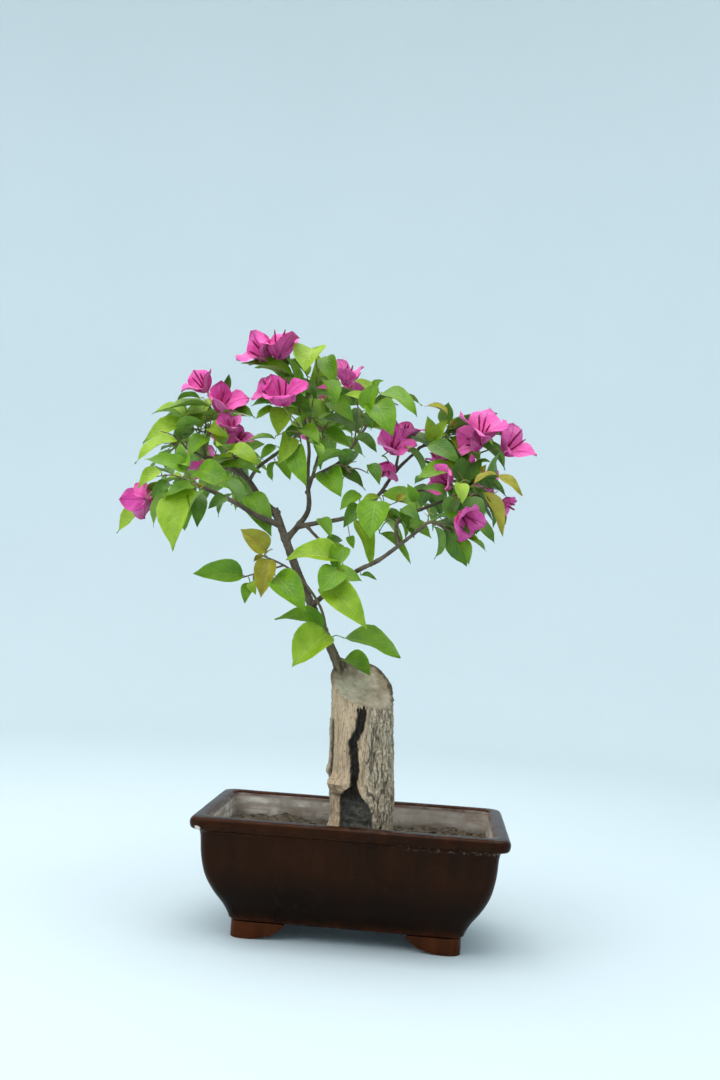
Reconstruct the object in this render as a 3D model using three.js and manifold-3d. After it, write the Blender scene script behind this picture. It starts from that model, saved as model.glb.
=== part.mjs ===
// Bougainvillea bonsai: an old hollow stump with one bent leader, an open crown of
// leafy shoots with papery bracts, in a shallow oblong glazed pot on four feet.
// Millimetres, Z up. The plant is laid out from the middle of the pot, at ground level.
import * as THREE from 'three';
import { mergeVertices } from 'three/addons/utils/BufferGeometryUtils.js';
import Module from 'manifold-3d';

const wasm = await Module();
wasm.setup();

// Frame: the origin lies on the ground under the middle of the whole plant.
const POT_FROM_ORIGIN_X = 51;
const POT_FROM_ORIGIN_Y = -21;

// Fit between neighbouring pieces.
const CLEARANCE = 0.3;
const FUSE_TOLERANCE = 0.1;
const WELD = 0.001;

// Pot.
const RIM_HALF_LENGTH = 161;
const RIM_HALF_WIDTH = 101;
const POT_CORNER = 13;
const UNDERSIDE = 17;
const RIM_TOP = 126;
const INNER_FLOOR = 27;

// Pot profile, each row an inset from the rim's outer edge and a height.
const OUTER_PROFILE = [
  [46, UNDERSIDE], [40, 19], [38, 24], [33, 34], [24, 48], [16, 65], [11.5, 85],
  [9, 109], [7, 112], [1.5, 114], [0, 117], [0, 122.5], [2.5, 125.5], [5, RIM_TOP],
];
const INNER_PROFILE = [
  [12, RIM_TOP], [15, 123], [16, 118], [19, 90], [26, 60], [40, 36], [52, INNER_FLOOR],
];

// Bracket feet.
const FOOT_INSET = 42;
const FOOT_THICK = 13;
const FOOT_CONTACT = 21;
const FOOT_LENGTH_X = 56;
const FOOT_LENGTH_Y = 40;
const FOOT_TURN = 4;

// Soil.
const SOIL_LEVEL = 101;
const SOIL_ROUGHNESS = 3;
const SOIL_FLAT_RADIUS = 64;

// Stump.
const STUMP_FOOT_X = 5;
const STUMP_LEAN_X = -6.5;
const STUMP_FOOT_RADIUS = 36;
const STUMP_TOP_RADIUS = 32.5;
const STUMP_DEPTH = 0.93;
const STUMP_FLARE = 3;
const STUMP_SIDES = 24;
const STUMP_RINGS = 11;
const CUT_HEIGHT = 263;
const CUT_RISE_BACK = 0.8;
const CUT_FALL_RIGHT = 0.3;
const CUT_CREST = 287;

// The crack in the stump's face, rows of height, middle and half width; it opens into a burnt hollow.
const CRACK = [
  [244, 0, 1.6], [232, 1.8, 5], [217, 0.5, 4.9], [204, -5.4, 4.6], [180, -2, 4.5], [155, -2, 4],
  [146, -5, 10.5], [130, 2, 16.5], [SOIL_LEVEL - 5, 4, 18.5],
];
const CRACK_DEPTH = 26;

// Limbs in the order they are fitted: path through a few points, radius at the base and at the tip.
const LIMBS = {
  leader: {
    base: 8,
    tip: 4.6,
    path: [
      [-27, 2, 268], [-43, -4, 309], [-62, -6, 344], [-81, -8, 382], [-95, -10, 414],
      [-110, -12, 448],
    ],
  },
  bough_left: {
    base: 4,
    tip: 2.4,
    path: [[-101, -10, 430], [-125, -24, 437], [-148, -40, 449], [-181, -58, 462]],
  },
  bough_upper_left: {
    base: 4.4,
    tip: 2.8,
    path: [[-107, -11, 442], [-129, 8, 460], [-148, 25, 482], [-173, 42, 498], [-200, 54, 508]],
  },
  bough_centre: {
    base: 4,
    tip: 2.2,
    path: [[-94, -10, 416], [-84, -2, 431], [-75, 7, 450], [-79, 16, 485], [-80, 20, 512]],
  },
  bough_rear_right: {
    base: 3.1,
    tip: 2,
    path: [
      [-85, -3, 430], [-61, -12, 435], [-37, -16, 440], [-14, -8, 450], [3, 8, 473], [19, 24, 502],
      [41, 36, 528],
    ],
  },
  bough_front_right: {
    base: 3.5,
    tip: 2.1,
    path: [
      [-62, -6, 345], [-48, -20, 357], [-30, -38, 371], [-12, -50, 384], [10, -59, 396],
      [30, -64, 412], [55, -66, 434],
    ],
  },
  bough_right: {
    base: 2.4,
    tip: 1.9,
    path: [[30, -64, 412], [27, -57, 436], [41, -46, 448], [79, -26, 468]],
  },
  bough_cross: {
    base: 2.5,
    tip: 1.8,
    path: [[-147, 24, 480], [-135, 12, 495], [-110, 2, 514], [-92, -6, 531]],
  },
  bough_upper_right: {
    base: 2.5,
    tip: 1.8,
    path: [[-79, 16, 484], [-67, 8, 491], [-53, 2, 498], [-40, -4, 506], [-32, -6, 518]],
  },
  spur_left: {
    base: 2.3,
    tip: 1.8,
    path: [[-176, 43, 499], [-196, 34, 503], [-212, 26, 510]],
  },
  spur_left_centre: {
    base: 2.2,
    tip: 1.8,
    path: [[-150, 27, 484], [-156, 20, 492], [-160, 14, 500]],
  },
  spur_inner: {
    base: 2.2,
    tip: 1.8,
    path: [[-75, -7, 433], [-66, -16, 424], [-58, -20, 417]],
  },
  spur_centre: {
    base: 2.1,
    tip: 1.7,
    path: [[-20, -11, 446], [-16, -22, 450], [-13, -30, 450]],
  },
  spur_mid_right: {
    base: 2.1,
    tip: 1.7,
    path: [[18, 23, 500], [19, 19, 509], [20, 17, 516]],
  },
  spur_upper_centre: {
    base: 2,
    tip: 1.7,
    path: [[-50, 1, 499], [-42, -10, 496], [-38, -16, 496]],
  },
  spur_low_right: {
    base: 2.1,
    tip: 1.7,
    path: [[-44, -24, 360], [-36, -36, 362], [-32, -42, 363]],
  },
  bough_back_left: {
    base: 2.5,
    tip: 1.9,
    path: [[-160, 34, 490], [-168, 52, 492], [-174, 70, 498]],
  },
  bough_back_centre: {
    base: 2.5,
    tip: 1.9,
    path: [[-78, 13, 470], [-76, 36, 492], [-72, 56, 526]],
  },
  bough_back_right: {
    base: 2.4,
    tip: 1.9,
    path: [[5, 10, 476], [28, 34, 478], [52, 56, 486]],
  },
};
const LIMB_SIDES = 6;
const LIMB_STEP = 16;

// Leaves, twigs and bracts.
const LEAF_LENGTH = 50;
const LEAF_WIDTH = 0.62;
const LEAF_THICK = 0.024;
const LEAF_FOLD = 0.07;
const LEAF_DROOP = 0.9;
const STEM_RADIUS = 1.6;
const TWIG_RADIUS = 1.1;
const TWIG_TIP_RADIUS = 0.75;
const TWIG_REACH = 0.45;
const TWIG_ARCH = 0.12;
const BRACT_LENGTH = 36;
const BRACT_WIDTH = 0.8;
const BRACT_OUT = 0.66;
const BLOOM_STALK = 19;
const LEAF_ROOM = 10;
const LEAF_TRIES = 6;
const GOLDEN_TURN = 2.399963;
const FIRST_BLOOM = 20;
const CROWN_HEART = [-60, 62, 430];

// Leafy masses. A spray fills an oval space round its heart: reach is half that space, twigs and
// leaves are counts, turn starts the spiral. Blooms are a place and a number of flowers.
// Single leaves hang from a share of the stem's length and end at a given tip; a shoot is a side twig.
const MASSES = {
  leaves_stump: {
    on: 'trunk',
    stem: [[-26, -11, 252], [-33, -16, 292], [-43, -20, 322]],
    single: [[0.96, -77, -36, 278], [1, -101, -12, 328], [1, 38, -40, 298], [0.4, 11, -49, 276]],
  },
  leaves_low_left: {
    on: 'trunk',
    stem: [
      [-24, -7, 256], [-42, -13, 312], [-51, -18, 343], [-75, -25, 374], [-91, -30, 385],
      [-114, -36, 394],
    ],
    single: [
      [1, -140, -40, 422], [0.98, -113, -48, 348], [0.72, -26, -46, 398], [0.78, -64, -50, 336],
    ],
    shoots: [{
      at: 0.86,
      to: [-138, -34, 369],
      single: [[0.95, -191, -32, 370], [1, -131, -40, 334], [0.7, -128, -8, 366]],
    }],
  },
  leaves_low_right: {
    on: 'spur_low_right',
    stem: [[-30, -46, 366]],
    single: [
      [1, 4, -64, 324], [0.95, -4, -74, 384], [0.8, 10, -46, 376], [0.6, -54, -58, 380],
      [0.9, -12, -84, 360],
    ],
  },
  leaves_inner: {
    on: 'spur_inner',
    stem: [[-46, -22, 411]],
    single: [[1, -20, -36, 424], [0.5, -66, -34, 440], [0.9, -34, -28, 386], [0.7, -34, -2, 418]],
  },
  leaves_centre: {
    on: 'spur_centre',
    heart: [4, -36, 438],
    reach: [58, 36, 56],
    twigs: 4,
    leaves: 4,
    turn: 0.5,
    single: [
      [0.5, -30, -48, 428], [0.7, 2, -58, 414], [0.9, 24, -52, 416], [0.6, 2, -50, 388],
      [0.95, 48, -36, 394], [0.8, 58, -28, 454],
    ],
  },
  leaves_upper_centre: {
    on: 'spur_upper_centre',
    heart: [-28, -24, 490],
    reach: [46, 38, 40],
    twigs: 4,
    leaves: 4,
    turn: 1.2,
  },
  leaves_mid_right: {
    on: 'spur_mid_right',
    heart: [20, 12, 524],
    reach: [42, 40, 48],
    twigs: 4,
    leaves: 4,
    turn: 2.4,
    blooms: [[18, 0, 534, 2], [8, 2, 504, 1]],
  },
  leaves_right_top: {
    on: 'bough_rear_right',
    heart: [84, 24, 534],
    reach: [70, 48, 46],
    twigs: 7,
    leaves: 5,
    turn: 0.9,
    blooms: [[106, 12, 554, 2], [138, 10, 540, 2], [68, -4, 524, 1]],
  },
  leaves_right: {
    on: 'bough_right',
    heart: [112, -24, 474],
    reach: [62, 48, 48],
    twigs: 6,
    leaves: 5,
    turn: 1.7,
    blooms: [[71, -34, 487, 1], [140, -4, 471, 1]],
    single: [[0.9, 139, -44, 430], [1, 160, -22, 480]],
  },
  leaves_right_low: {
    on: 'bough_front_right',
    heart: [84, -64, 430],
    reach: [46, 40, 46],
    twigs: 4,
    leaves: 4,
    turn: 0.2,
    blooms: [[99, -78, 440, 2]],
    single: [[0.8, 104, -78, 396]],
  },
  leaves_upper_right: {
    on: 'bough_upper_right',
    heart: [-6, -10, 560],
    reach: [56, 46, 48],
    twigs: 6,
    leaves: 5,
    turn: 0.7,
    blooms: [[-41, -8, 606, 1]],
  },
  leaves_cross: {
    on: 'bough_cross',
    heart: [-88, -22, 526],
    reach: [54, 42, 52],
    twigs: 6,
    leaves: 4,
    turn: 2,
  },
  leaves_top: {
    on: 'bough_centre',
    heart: [-96, 4, 594],
    reach: [60, 46, 48],
    twigs: 6,
    leaves: 4,
    turn: 1,
    blooms: [[-128, -10, 618, 3], [-108, -34, 578, 2]],
    single: [[0.95, -64, -8, 628]],
  },
  leaves_upper_left: {
    on: 'bough_upper_left',
    heart: [-204, 40, 546],
    reach: [62, 52, 52],
    twigs: 7,
    leaves: 5,
    turn: 0.4,
    blooms: [[-212, 30, 592, 2], [-180, 30, 584, 1], [-167, 26, 546, 1]],
  },
  leaves_left: {
    on: 'spur_left',
    heart: [-238, 12, 516],
    reach: [54, 42, 48],
    twigs: 6,
    leaves: 4,
    turn: 1.4,
  },
  leaves_left_centre: {
    on: 'spur_left_centre',
    heart: [-162, 4, 500],
    reach: [44, 38, 36],
    twigs: 4,
    leaves: 4,
    turn: 2.2,
  },
  leaves_lower_left: {
    on: 'bough_left',
    heart: [-212, -60, 456],
    reach: [70, 50, 46],
    twigs: 6,
    leaves: 4,
    turn: 0.8,
    blooms: [[-258, -70, 444, 1]],
    single: [[0.3, -205, -82, 394], [1, -268, -72, 408]],
  },
  leaves_back_left: {
    on: 'bough_back_left',
    heart: [-190, 92, 500],
    reach: [62, 42, 54],
    twigs: 6,
    leaves: 4,
    turn: 0.3,
    blooms: [[-206, 116, 522, 2]],
  },
  leaves_back_centre: {
    on: 'bough_back_centre',
    heart: [-70, 80, 560],
    reach: [66, 46, 56],
    twigs: 6,
    leaves: 4,
    turn: 1.1,
    blooms: [[-58, 104, 598, 2], [-92, 110, 560, 1]],
  },
  leaves_back_right: {
    on: 'bough_back_right',
    heart: [78, 80, 492],
    reach: [60, 44, 54],
    twigs: 6,
    leaves: 4,
    turn: 1.9,
    blooms: [[100, 104, 512, 2]],
  },
};

const GLAZE = { color: 0x2b1a13, roughness: 0.35, metalness: 0 };
const EARTH = { color: 0x6b6258, roughness: 0.95, metalness: 0 };
const BARK = { color: 0x9b8f7f, roughness: 0.9, metalness: 0 };
const YOUNG_BARK = { color: 0x7a6a54, roughness: 0.85, metalness: 0 };
const FOLIAGE = { color: 0x5a9a24, roughness: 0.6, metalness: 0 };

const plant = new THREE.Group();
plant.name = 'bougainvillea_bonsai';
plant.position.set(POT_FROM_ORIGIN_X, POT_FROM_ORIGIN_Y, 0);

// Adds a finished solid to the plant as one named piece.
function place(name, solid, look) {
  const mesh = new THREE.Mesh(geometryOf(solid), new THREE.MeshStandardMaterial(look));
  mesh.name = name;
  plant.add(mesh);
}

function point([x, y, z]) {
  return new THREE.Vector3(x, y, z);
}

// Turns a closed triangle geometry into a solid.
function solidOf(geometry) {
  const bare = geometry.clone();
  bare.deleteAttribute('normal');
  bare.deleteAttribute('uv');
  const joined = mergeVertices(bare, 1e-4);
  const mesh = new wasm.Mesh({
    numProp: 3,
    vertProperties: new Float32Array(joined.attributes.position.array),
    triVerts: new Uint32Array(joined.index.array),
  });
  return new wasm.Manifold(mesh);
}

function geometryOf(solid) {
  const mesh = solid.getMesh();
  const geometry = new THREE.BufferGeometry();
  geometry.setAttribute('position', new THREE.BufferAttribute(mesh.vertProperties, 3));
  geometry.setIndex(new THREE.BufferAttribute(mesh.triVerts, 1));
  geometry.computeVertexNormals();
  return geometry;
}

// The biggest body of a solid: loose scraps fall away and sealed hollows are filled.
function biggest(solid) {
  let best = solid;
  let most = 0;
  for (const body of solid.decompose()) {
    if (body.volume() > most) {
      most = body.volume();
      best = body;
    }
  }
  return best;
}

// True where every edge still has one face on each side after points closer than a weld are joined.
function sound(solid) {
  const geometry = geometryOf(solid);
  geometry.deleteAttribute('normal');
  geometry.translate(POT_FROM_ORIGIN_X, POT_FROM_ORIGIN_Y, 0);
  const corners = mergeVertices(geometry, WELD).index.array;
  const edges = new Map();
  for (let face = 0; face < corners.length; face += 3) {
    const [a, b, c] = [corners[face], corners[face + 1], corners[face + 2]];
    if (a === b || b === c || c === a) continue;
    for (const [from, to] of [[a, b], [b, c], [c, a]]) {
      const key = `${from} ${to}`;
      edges.set(key, (edges.get(key) ?? 0) + 1);
    }
  }
  for (const [key, uses] of edges) {
    const [from, to] = key.split(' ');
    if (uses !== 1 || edges.get(`${to} ${from}`) !== 1) return false;
  }
  return true;
}

// Fuses leaves and flowers to their twigs one by one; one that can't be fused cleanly is left out.
function fuse(wood, blades) {
  let body = wasm.Manifold.union(wood);
  for (const blade of blades) {
    const next = body.add(blade);
    if (sound(next)) body = next;
  }
  const smooth = biggest(body.asOriginal().simplify(FUSE_TOLERANCE));
  return sound(smooth) ? smooth : biggest(body);
}

// A closed solid skinned over rings of points, all of the same count, with flat ends.
function skin(rings) {
  const count = rings[0].length;
  const last = (rings.length - 1) * count;
  const faces = [];
  for (let ring = 0; ring + 1 < rings.length; ring += 1) {
    for (let side = 0; side < count; side += 1) {
      const next = (side + 1) % count;
      const a = ring * count + side;
      const b = ring * count + next;
      faces.push(a, b, b + count, a, b + count, a + count);
    }
  }
  for (let side = 1; side + 1 < count; side += 1) {
    faces.push(0, side + 1, side);
    faces.push(last, last + side, last + side + 1);
  }
  const geometry = new THREE.BufferGeometry().setFromPoints(rings.flat());
  geometry.setIndex(faces);
  return solidOf(geometry);
}

// A rounded oblong ring at one height, drawn in from the rim's outer edge by an inset.
function oblongRing(inset, height, grow = 0) {
  const ring = [];
  const corner = POT_CORNER;
  for (let quarter = 0; quarter < 4; quarter += 1) {
    const signX = quarter === 0 || quarter === 3 ? 1 : -1;
    const signY = quarter < 2 ? 1 : -1;
    const centreX = signX * (RIM_HALF_LENGTH - inset + grow - corner);
    const centreY = signY * (RIM_HALF_WIDTH - inset + grow - corner);
    for (let step = 0; step <= 3; step += 1) {
      const angle = (quarter + step / 3) * Math.PI / 2;
      const x = centreX + corner * Math.cos(angle);
      const y = centreY + corner * Math.sin(angle);
      ring.push(new THREE.Vector3(x, y, height));
    }
  }
  return ring;
}

// Pot: one wall from the underside up round the rim and down to the inner floor.
const potRings = OUTER_PROFILE.concat(INNER_PROFILE).map(([inset, height]) => oblongRing(inset, height));
const pot = skin(potRings);
place('pot', pot, GLAZE);

// One bracket of a foot: a flat sole, then a full curve that rises slowly and turns up at its end.
function footWing(length) {
  const outline = new THREE.Shape();
  outline.moveTo(0, 0);
  outline.lineTo(FOOT_CONTACT, 0);
  outline.quadraticCurveTo(length - FOOT_TURN, FOOT_TURN, length, UNDERSIDE);
  outline.lineTo(0, UNDERSIDE);
  outline.closePath();
  const settings = { depth: FOOT_THICK, bevelEnabled: false, curveSegments: 4 };
  const wing = new THREE.ExtrudeGeometry(outline, settings);
  wing.rotateX(Math.PI / 2);
  return wing;
}

// A foot is two brackets meeting at the pot's corner, its outer edge rounded like the pot's.
function foot(signX, signY) {
  const cornerX = RIM_HALF_LENGTH - FOOT_INSET;
  const cornerY = RIM_HALF_WIDTH - FOOT_INSET;
  const along = footWing(FOOT_LENGTH_X);
  along.rotateZ(Math.PI);
  along.translate(cornerX, cornerY - FOOT_THICK, 0);
  const across = footWing(FOOT_LENGTH_Y);
  across.rotateZ(-Math.PI / 2);
  across.translate(cornerX, cornerY, 0);
  const outer = skin([
    oblongRing(FOOT_INSET + 2, 0),
    oblongRing(FOOT_INSET, 3),
    oblongRing(FOOT_INSET, UNDERSIDE),
  ]);
  const solid = solidOf(along).add(solidOf(across)).intersect(outer);
  if (signX > 0 && signY > 0) return solid;
  if (signX < 0 && signY < 0) return solid.mirror([1, 0, 0]).mirror([0, 1, 0]);
  return signX < 0 ? solid.mirror([1, 0, 0]) : solid.mirror([0, 1, 0]);
}

place('foot_front_left', foot(-1, -1), GLAZE);
place('foot_front_right', foot(1, -1), GLAZE);
place('foot_back_left', foot(-1, 1), GLAZE);
place('foot_back_right', foot(1, 1), GLAZE);

// Height of the lumpy soil, level where the stump stands.
function soilHeight(x, y) {
  const lumps = Math.sin(x * 0.071 + 1.3) * Math.cos(y * 0.083) + 0.6 * Math.sin(x * 0.163 - y * 0.127);
  const away = Math.hypot(x - STUMP_FOOT_X, y) - SOIL_FLAT_RADIUS;
  const blend = Math.min(Math.max(away / 30, 0), 1);
  return SOIL_LEVEL + SOIL_ROUGHNESS * blend * lumps;
}

// Soil fills the pot inside its wall and closes over in rings drawn in round the stump.
function soilSolid() {
  const rings = [];
  const below = INNER_PROFILE.filter(([, height]) => height < SOIL_LEVEL - 8).reverse();
  for (const [inset, height] of below) {
    rings.push(oblongRing(inset, height + (height === INNER_FLOOR ? CLEARANCE : 0), -CLEARANCE));
  }
  for (const share of [1, 0.9, 0.78, 0.66, 0.54, 0.42, 0.3]) {
    const ring = oblongRing(18.4, 0, -CLEARANCE);
    for (const spot of ring) {
      spot.x = STUMP_FOOT_X + (spot.x - STUMP_FOOT_X) * share;
      spot.y *= share;
      spot.z = soilHeight(spot.x, spot.y);
    }
    rings.push(ring);
  }
  return skin(rings);
}

const soil = soilSolid();
place('soil', soil, EARTH);

// Height of the slanting saw cut on top of the stump, rounded off at its crest.
function cutHeight(x, y) {
  const slope = CUT_HEIGHT + CUT_RISE_BACK * y - CUT_FALL_RIGHT * x;
  return slope < CUT_CREST ? slope : CUT_CREST + (slope - CUT_CREST) * 0.1;
}

// The stump without its crack: rings from the flat foot to the cut, furrowed like old bark.
function stumpSolid(grow) {
  const rings = [];
  const foot = SOIL_LEVEL + CLEARANCE - grow;
  for (let step = 0; step <= STUMP_RINGS; step += 1) {
    const share = step / STUMP_RINGS;
    const ring = [];
    for (let side = 0; side < STUMP_SIDES; side += 1) {
      const angle = side / STUMP_SIDES * Math.PI * 2;
      const taper = STUMP_FOOT_RADIUS + (STUMP_TOP_RADIUS - STUMP_FOOT_RADIUS) * share;
      const furrow = Math.sin(angle * 9 + share * 3) * 0.6 + Math.sin(angle * 5 - share * 4 + 1) * 0.7;
      const flare = STUMP_FLARE * Math.exp(-share * 14) * (0.6 + 0.4 * Math.cos(angle * 3 + 0.4));
      const radius = taper + furrow + flare + grow;
      const x = STUMP_FOOT_X + STUMP_LEAN_X * share * share + radius * Math.cos(angle);
      const y = radius * Math.sin(angle) * STUMP_DEPTH;
      const top = cutHeight(x, y) + grow;
      ring.push(new THREE.Vector3(x, y, foot + (top - foot) * share));
    }
    rings.push(ring);
  }
  return skin(rings);
}

// The crack's outline on the stump's face, driven straight back into the wood.
function crackSolid() {
  const leftEdge = CRACK.map(([height, middle, half]) => new THREE.Vector2(middle - half, height));
  const rightEdge = CRACK.map(([height, middle, half]) => new THREE.Vector2(middle + half, height));
  const outline = new THREE.Shape(leftEdge.concat(rightEdge.reverse()));
  const slot = new THREE.ExtrudeGeometry(outline, { depth: CRACK_DEPTH + 30, bevelEnabled: false });
  slot.rotateX(Math.PI / 2);
  slot.translate(0, CRACK_DEPTH - STUMP_FOOT_RADIUS, 0);
  return solidOf(slot);
}

const trunk = biggest(stumpSolid(0).subtract(crackSolid()));
place('trunk', trunk, BARK);

// A tapering limb along a smooth path, its ends cut square.
function limbSolid(path, base, tip, sides, step) {
  const curve = new THREE.CatmullRomCurve3(path);
  const steps = Math.max(2, Math.round(curve.getLength() / step));
  const frames = curve.computeFrenetFrames(steps, false);
  const rings = [];
  for (let index = 0; index <= steps; index += 1) {
    const share = index / steps;
    const centre = curve.getPointAt(share);
    const radius = base + (tip - base) * share;
    const ring = [];
    for (let side = 0; side < sides; side += 1) {
      const angle = side / sides * Math.PI * 2;
      const spot = centre.clone();
      spot.addScaledVector(frames.normals[index], radius * Math.cos(angle));
      spot.addScaledVector(frames.binormals[index], radius * Math.sin(angle));
      ring.push(spot);
    }
    rings.push(ring);
  }
  return skin(rings);
}

function boxesMeet(first, second, margin) {
  const a = first.boundingBox();
  const b = second.boundingBox();
  for (let axis = 0; axis < 3; axis += 1) {
    if (a.min[axis] > b.max[axis] + margin || b.min[axis] > a.max[axis] + margin) return false;
  }
  return true;
}

// Each limb is saddled on the ones before it, a clearance away from their bark.
const neighbours = [pot, soil, trunk];
const grownLimbs = [stumpSolid(CLEARANCE)];
const limbEnds = {};
for (const [name, { base, tip, path }] of Object.entries(LIMBS)) {
  const points = path.map(point);
  let solid = limbSolid(points, base, tip, LIMB_SIDES, LIMB_STEP);
  for (const earlier of grownLimbs) {
    if (boxesMeet(solid, earlier, 0)) solid = biggest(solid.subtract(earlier));
  }
  const curve = new THREE.CatmullRomCurve3(points);
  limbEnds[name] = { end: curve.getPoint(1), along: curve.getTangentAt(1) };
  grownLimbs.push(limbSolid(points, base + CLEARANCE, tip + CLEARANCE, LIMB_SIDES, LIMB_STEP));
  neighbours.push(solid);
  place(name, solid, name === 'leader' ? BARK : YOUNG_BARK);
}

// A number from 0 to 1 that varies with its keys and is the same on every run.
function chance(mass, twig, leaf, use) {
  const wave = Math.sin(mass * 12.9898 + twig * 78.233 + leaf * 37.719 + use * 9.151) * 43758.5453;
  return wave - Math.floor(wave);
}

// A flat blade from its root to its tip, folded a little along the midrib, upper side towards face.
function bladeSolid(root, tip, face, width, thick, fold) {
  const along = tip.clone().sub(root);
  const length = along.length();
  along.normalize();
  const upper = face.clone().addScaledVector(along, -face.dot(along)).normalize();
  const side = along.clone().cross(upper);
  const spot = (share, across, lift) => root.clone()
    .addScaledVector(along, share * length)
    .addScaledVector(side, across * width * length)
    .addScaledVector(upper, lift * length);
  const points = [
    spot(0, 0, 0), spot(0.34, 0.46, fold), spot(0.68, 0.37, fold), spot(1, 0, -0.04),
    spot(0.68, -0.37, fold), spot(0.34, -0.46, fold),
    spot(0.42, 0, thick / 2), spot(0.42, 0, -thick / 2),
  ];
  const faces = [];
  for (let edge = 0; edge < 6; edge += 1) {
    const next = (edge + 1) % 6;
    faces.push(edge, next, 6);
    faces.push(next, edge, 7);
  }
  const geometry = new THREE.BufferGeometry().setFromPoints(points);
  geometry.setIndex(faces);
  return solidOf(geometry);
}

// Where the upper side of a leaf looks: out of the crown, most of all to its front or back, and up.
function lightward(root) {
  const outward = root.clone().sub(point(CROWN_HEART));
  outward.y = outward.y * 3 + (outward.y < 0 ? -60 : 60);
  return outward.normalize().add(new THREE.Vector3(0, 0, 0.4)).normalize();
}

// Direction number index of count spread evenly over a ball.
function spread(index, count, turn) {
  const height = 1 - 1.6 * (index + 0.5) / count;
  const across = Math.sqrt(1 - height * height);
  const angle = index * GOLDEN_TURN + turn;
  return new THREE.Vector3(across * Math.cos(angle), across * Math.sin(angle), height);
}

// How far a spot lies from a spray's heart, 1 on the edge of its space.
function spaceShare(spot, heart, reach) {
  const offset = spot.clone().sub(heart).divide(point(reach));
  return offset.length();
}

// Places already taken by a leaf or a flower, each with the room it needs.
const taken = [];

function roomFor(spot, room) {
  return taken.every((other) => other.spot.distanceTo(spot) > other.room + room);
}

// One leaf of a twig: set in a spiral, leaning forward and drooping. A leaf that finds no room
// or would leave the spray's space turns on round the twig, and is left out after a full turn.
function growLeaf(curve, spray, mass, twig, leaf) {
  const terminal = leaf === spray.leaves - 1;
  const share = terminal ? 0.98 : 0.3 + 0.65 * leaf / spray.leaves;
  const root = curve.getPoint(share);
  const along = curve.getTangent(share);
  const heart = point(spray.heart);
  const length = LEAF_LENGTH * (0.72 + 0.5 * chance(mass, twig, leaf, 3)) * (terminal ? 0.85 : 1);
  for (let attempt = 0; attempt < LEAF_TRIES; attempt += 1) {
    const across = new THREE.Vector3(-along.y, along.x, 0.001).normalize();
    const turn = leaf * GOLDEN_TURN + 6.28 * chance(mass, twig, leaf, 1) + attempt * 6.28 / LEAF_TRIES;
    across.applyAxisAngle(along, turn);
    const aim = along.clone().multiplyScalar(terminal ? 1 : 0.45);
    aim.addScaledVector(across, terminal ? 0.35 : 0.9);
    aim.z -= LEAF_DROOP * (0.5 + chance(mass, twig, leaf, 2));
    aim.normalize();
    const tip = root.clone().addScaledVector(aim, length);
    const middle = root.clone().addScaledVector(aim, length * 0.55);
    if (spaceShare(tip, heart, spray.reach) > 1 || !roomFor(middle, LEAF_ROOM)) continue;
    taken.push({ spot: middle, room: LEAF_ROOM });
    const face = lightward(root);
    face.x += 0.6 * (chance(mass, twig, leaf, 4) - 0.5);
    face.y += 0.6 * (chance(mass, twig, leaf, 5) - 0.5);
    return { root, tip, face };
  }
  return null;
}

// One flower: three papery bracts spread round an axis from one thin base.
function flowerSolid(seat, axis, mass, bloom, flower) {
  const across = new THREE.Vector3(axis.z, 0.02, -axis.x).normalize();
  const start = 6.28 * chance(mass, bloom, flower, 6);
  const length = BRACT_LENGTH * (0.9 + 0.2 * chance(mass, bloom, flower, 7));
  const outline = [];
  for (let bract = 0; bract < 3; bract += 1) {
    const middle = start + bract * Math.PI * 2 / 3;
    const edge = (turn, out, rise) => outline.push(seat.clone()
      .addScaledVector(across.clone().applyAxisAngle(axis, middle + turn), out * length)
      .addScaledVector(axis, rise * length));
    edge(-Math.PI / 3, 0.1, 0.1);
    edge(-BRACT_WIDTH, 0.45, 0.3);
    edge(-BRACT_WIDTH * 0.6, BRACT_OUT * 0.95, 0.62);
    edge(0, BRACT_OUT, 0.82);
    edge(BRACT_WIDTH * 0.6, BRACT_OUT * 0.95, 0.62);
    edge(BRACT_WIDTH, 0.45, 0.3);
  }
  const base = outline.length;
  const below = seat.clone().addScaledVector(axis, -1);
  const above = seat.clone().addScaledVector(axis, 1);
  const points = [...outline, below, above];
  const faces = [];
  for (let edge = 0; edge < base; edge += 1) {
    const next = (edge + 1) % base;
    faces.push(next, edge, base);
    faces.push(edge, next, base + 1);
  }
  const geometry = new THREE.BufferGeometry().setFromPoints(points);
  geometry.setIndex(faces);
  return solidOf(geometry);
}

// A cluster of flowers round its middle: the head of its stalk, and each flower's seat and axis.
function planBloom([x, y, z, flowers], mass, bloom) {
  const middle = new THREE.Vector3(x, y, z);
  const axis = lightward(middle);
  const head = middle.clone().addScaledVector(axis, flowers > 1 ? -BLOOM_STALK : -BRACT_LENGTH / 2);
  const seats = [];
  for (let flower = 0; flower < flowers; flower += 1) {
    const across = new THREE.Vector3(axis.z, 0.02, -axis.x).normalize();
    across.applyAxisAngle(axis, flower * 6.28 / flowers + 6.28 * chance(mass, bloom, 0, 8));
    const aim = axis.clone().addScaledVector(across, flowers > 1 ? 1.1 : 0.1).normalize();
    const seat = head.clone().addScaledVector(aim, flowers > 1 ? BLOOM_STALK : 0);
    seats.push({ seat, axis: aim.addScaledVector(axis, 0.4).normalize() });
  }
  taken.push({ spot: middle, room: flowers > 1 ? BRACT_LENGTH : BRACT_LENGTH / 2 });
  return { head, seats };
}

// True where a piece keeps clear of everything already standing.
function clearOf(piece, others) {
  for (const other of others) {
    if (!boxesMeet(piece, other, CLEARANCE)) continue;
    if (piece.minGap(other, 2 * CLEARANCE) < CLEARANCE) return false;
  }
  return true;
}

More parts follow.
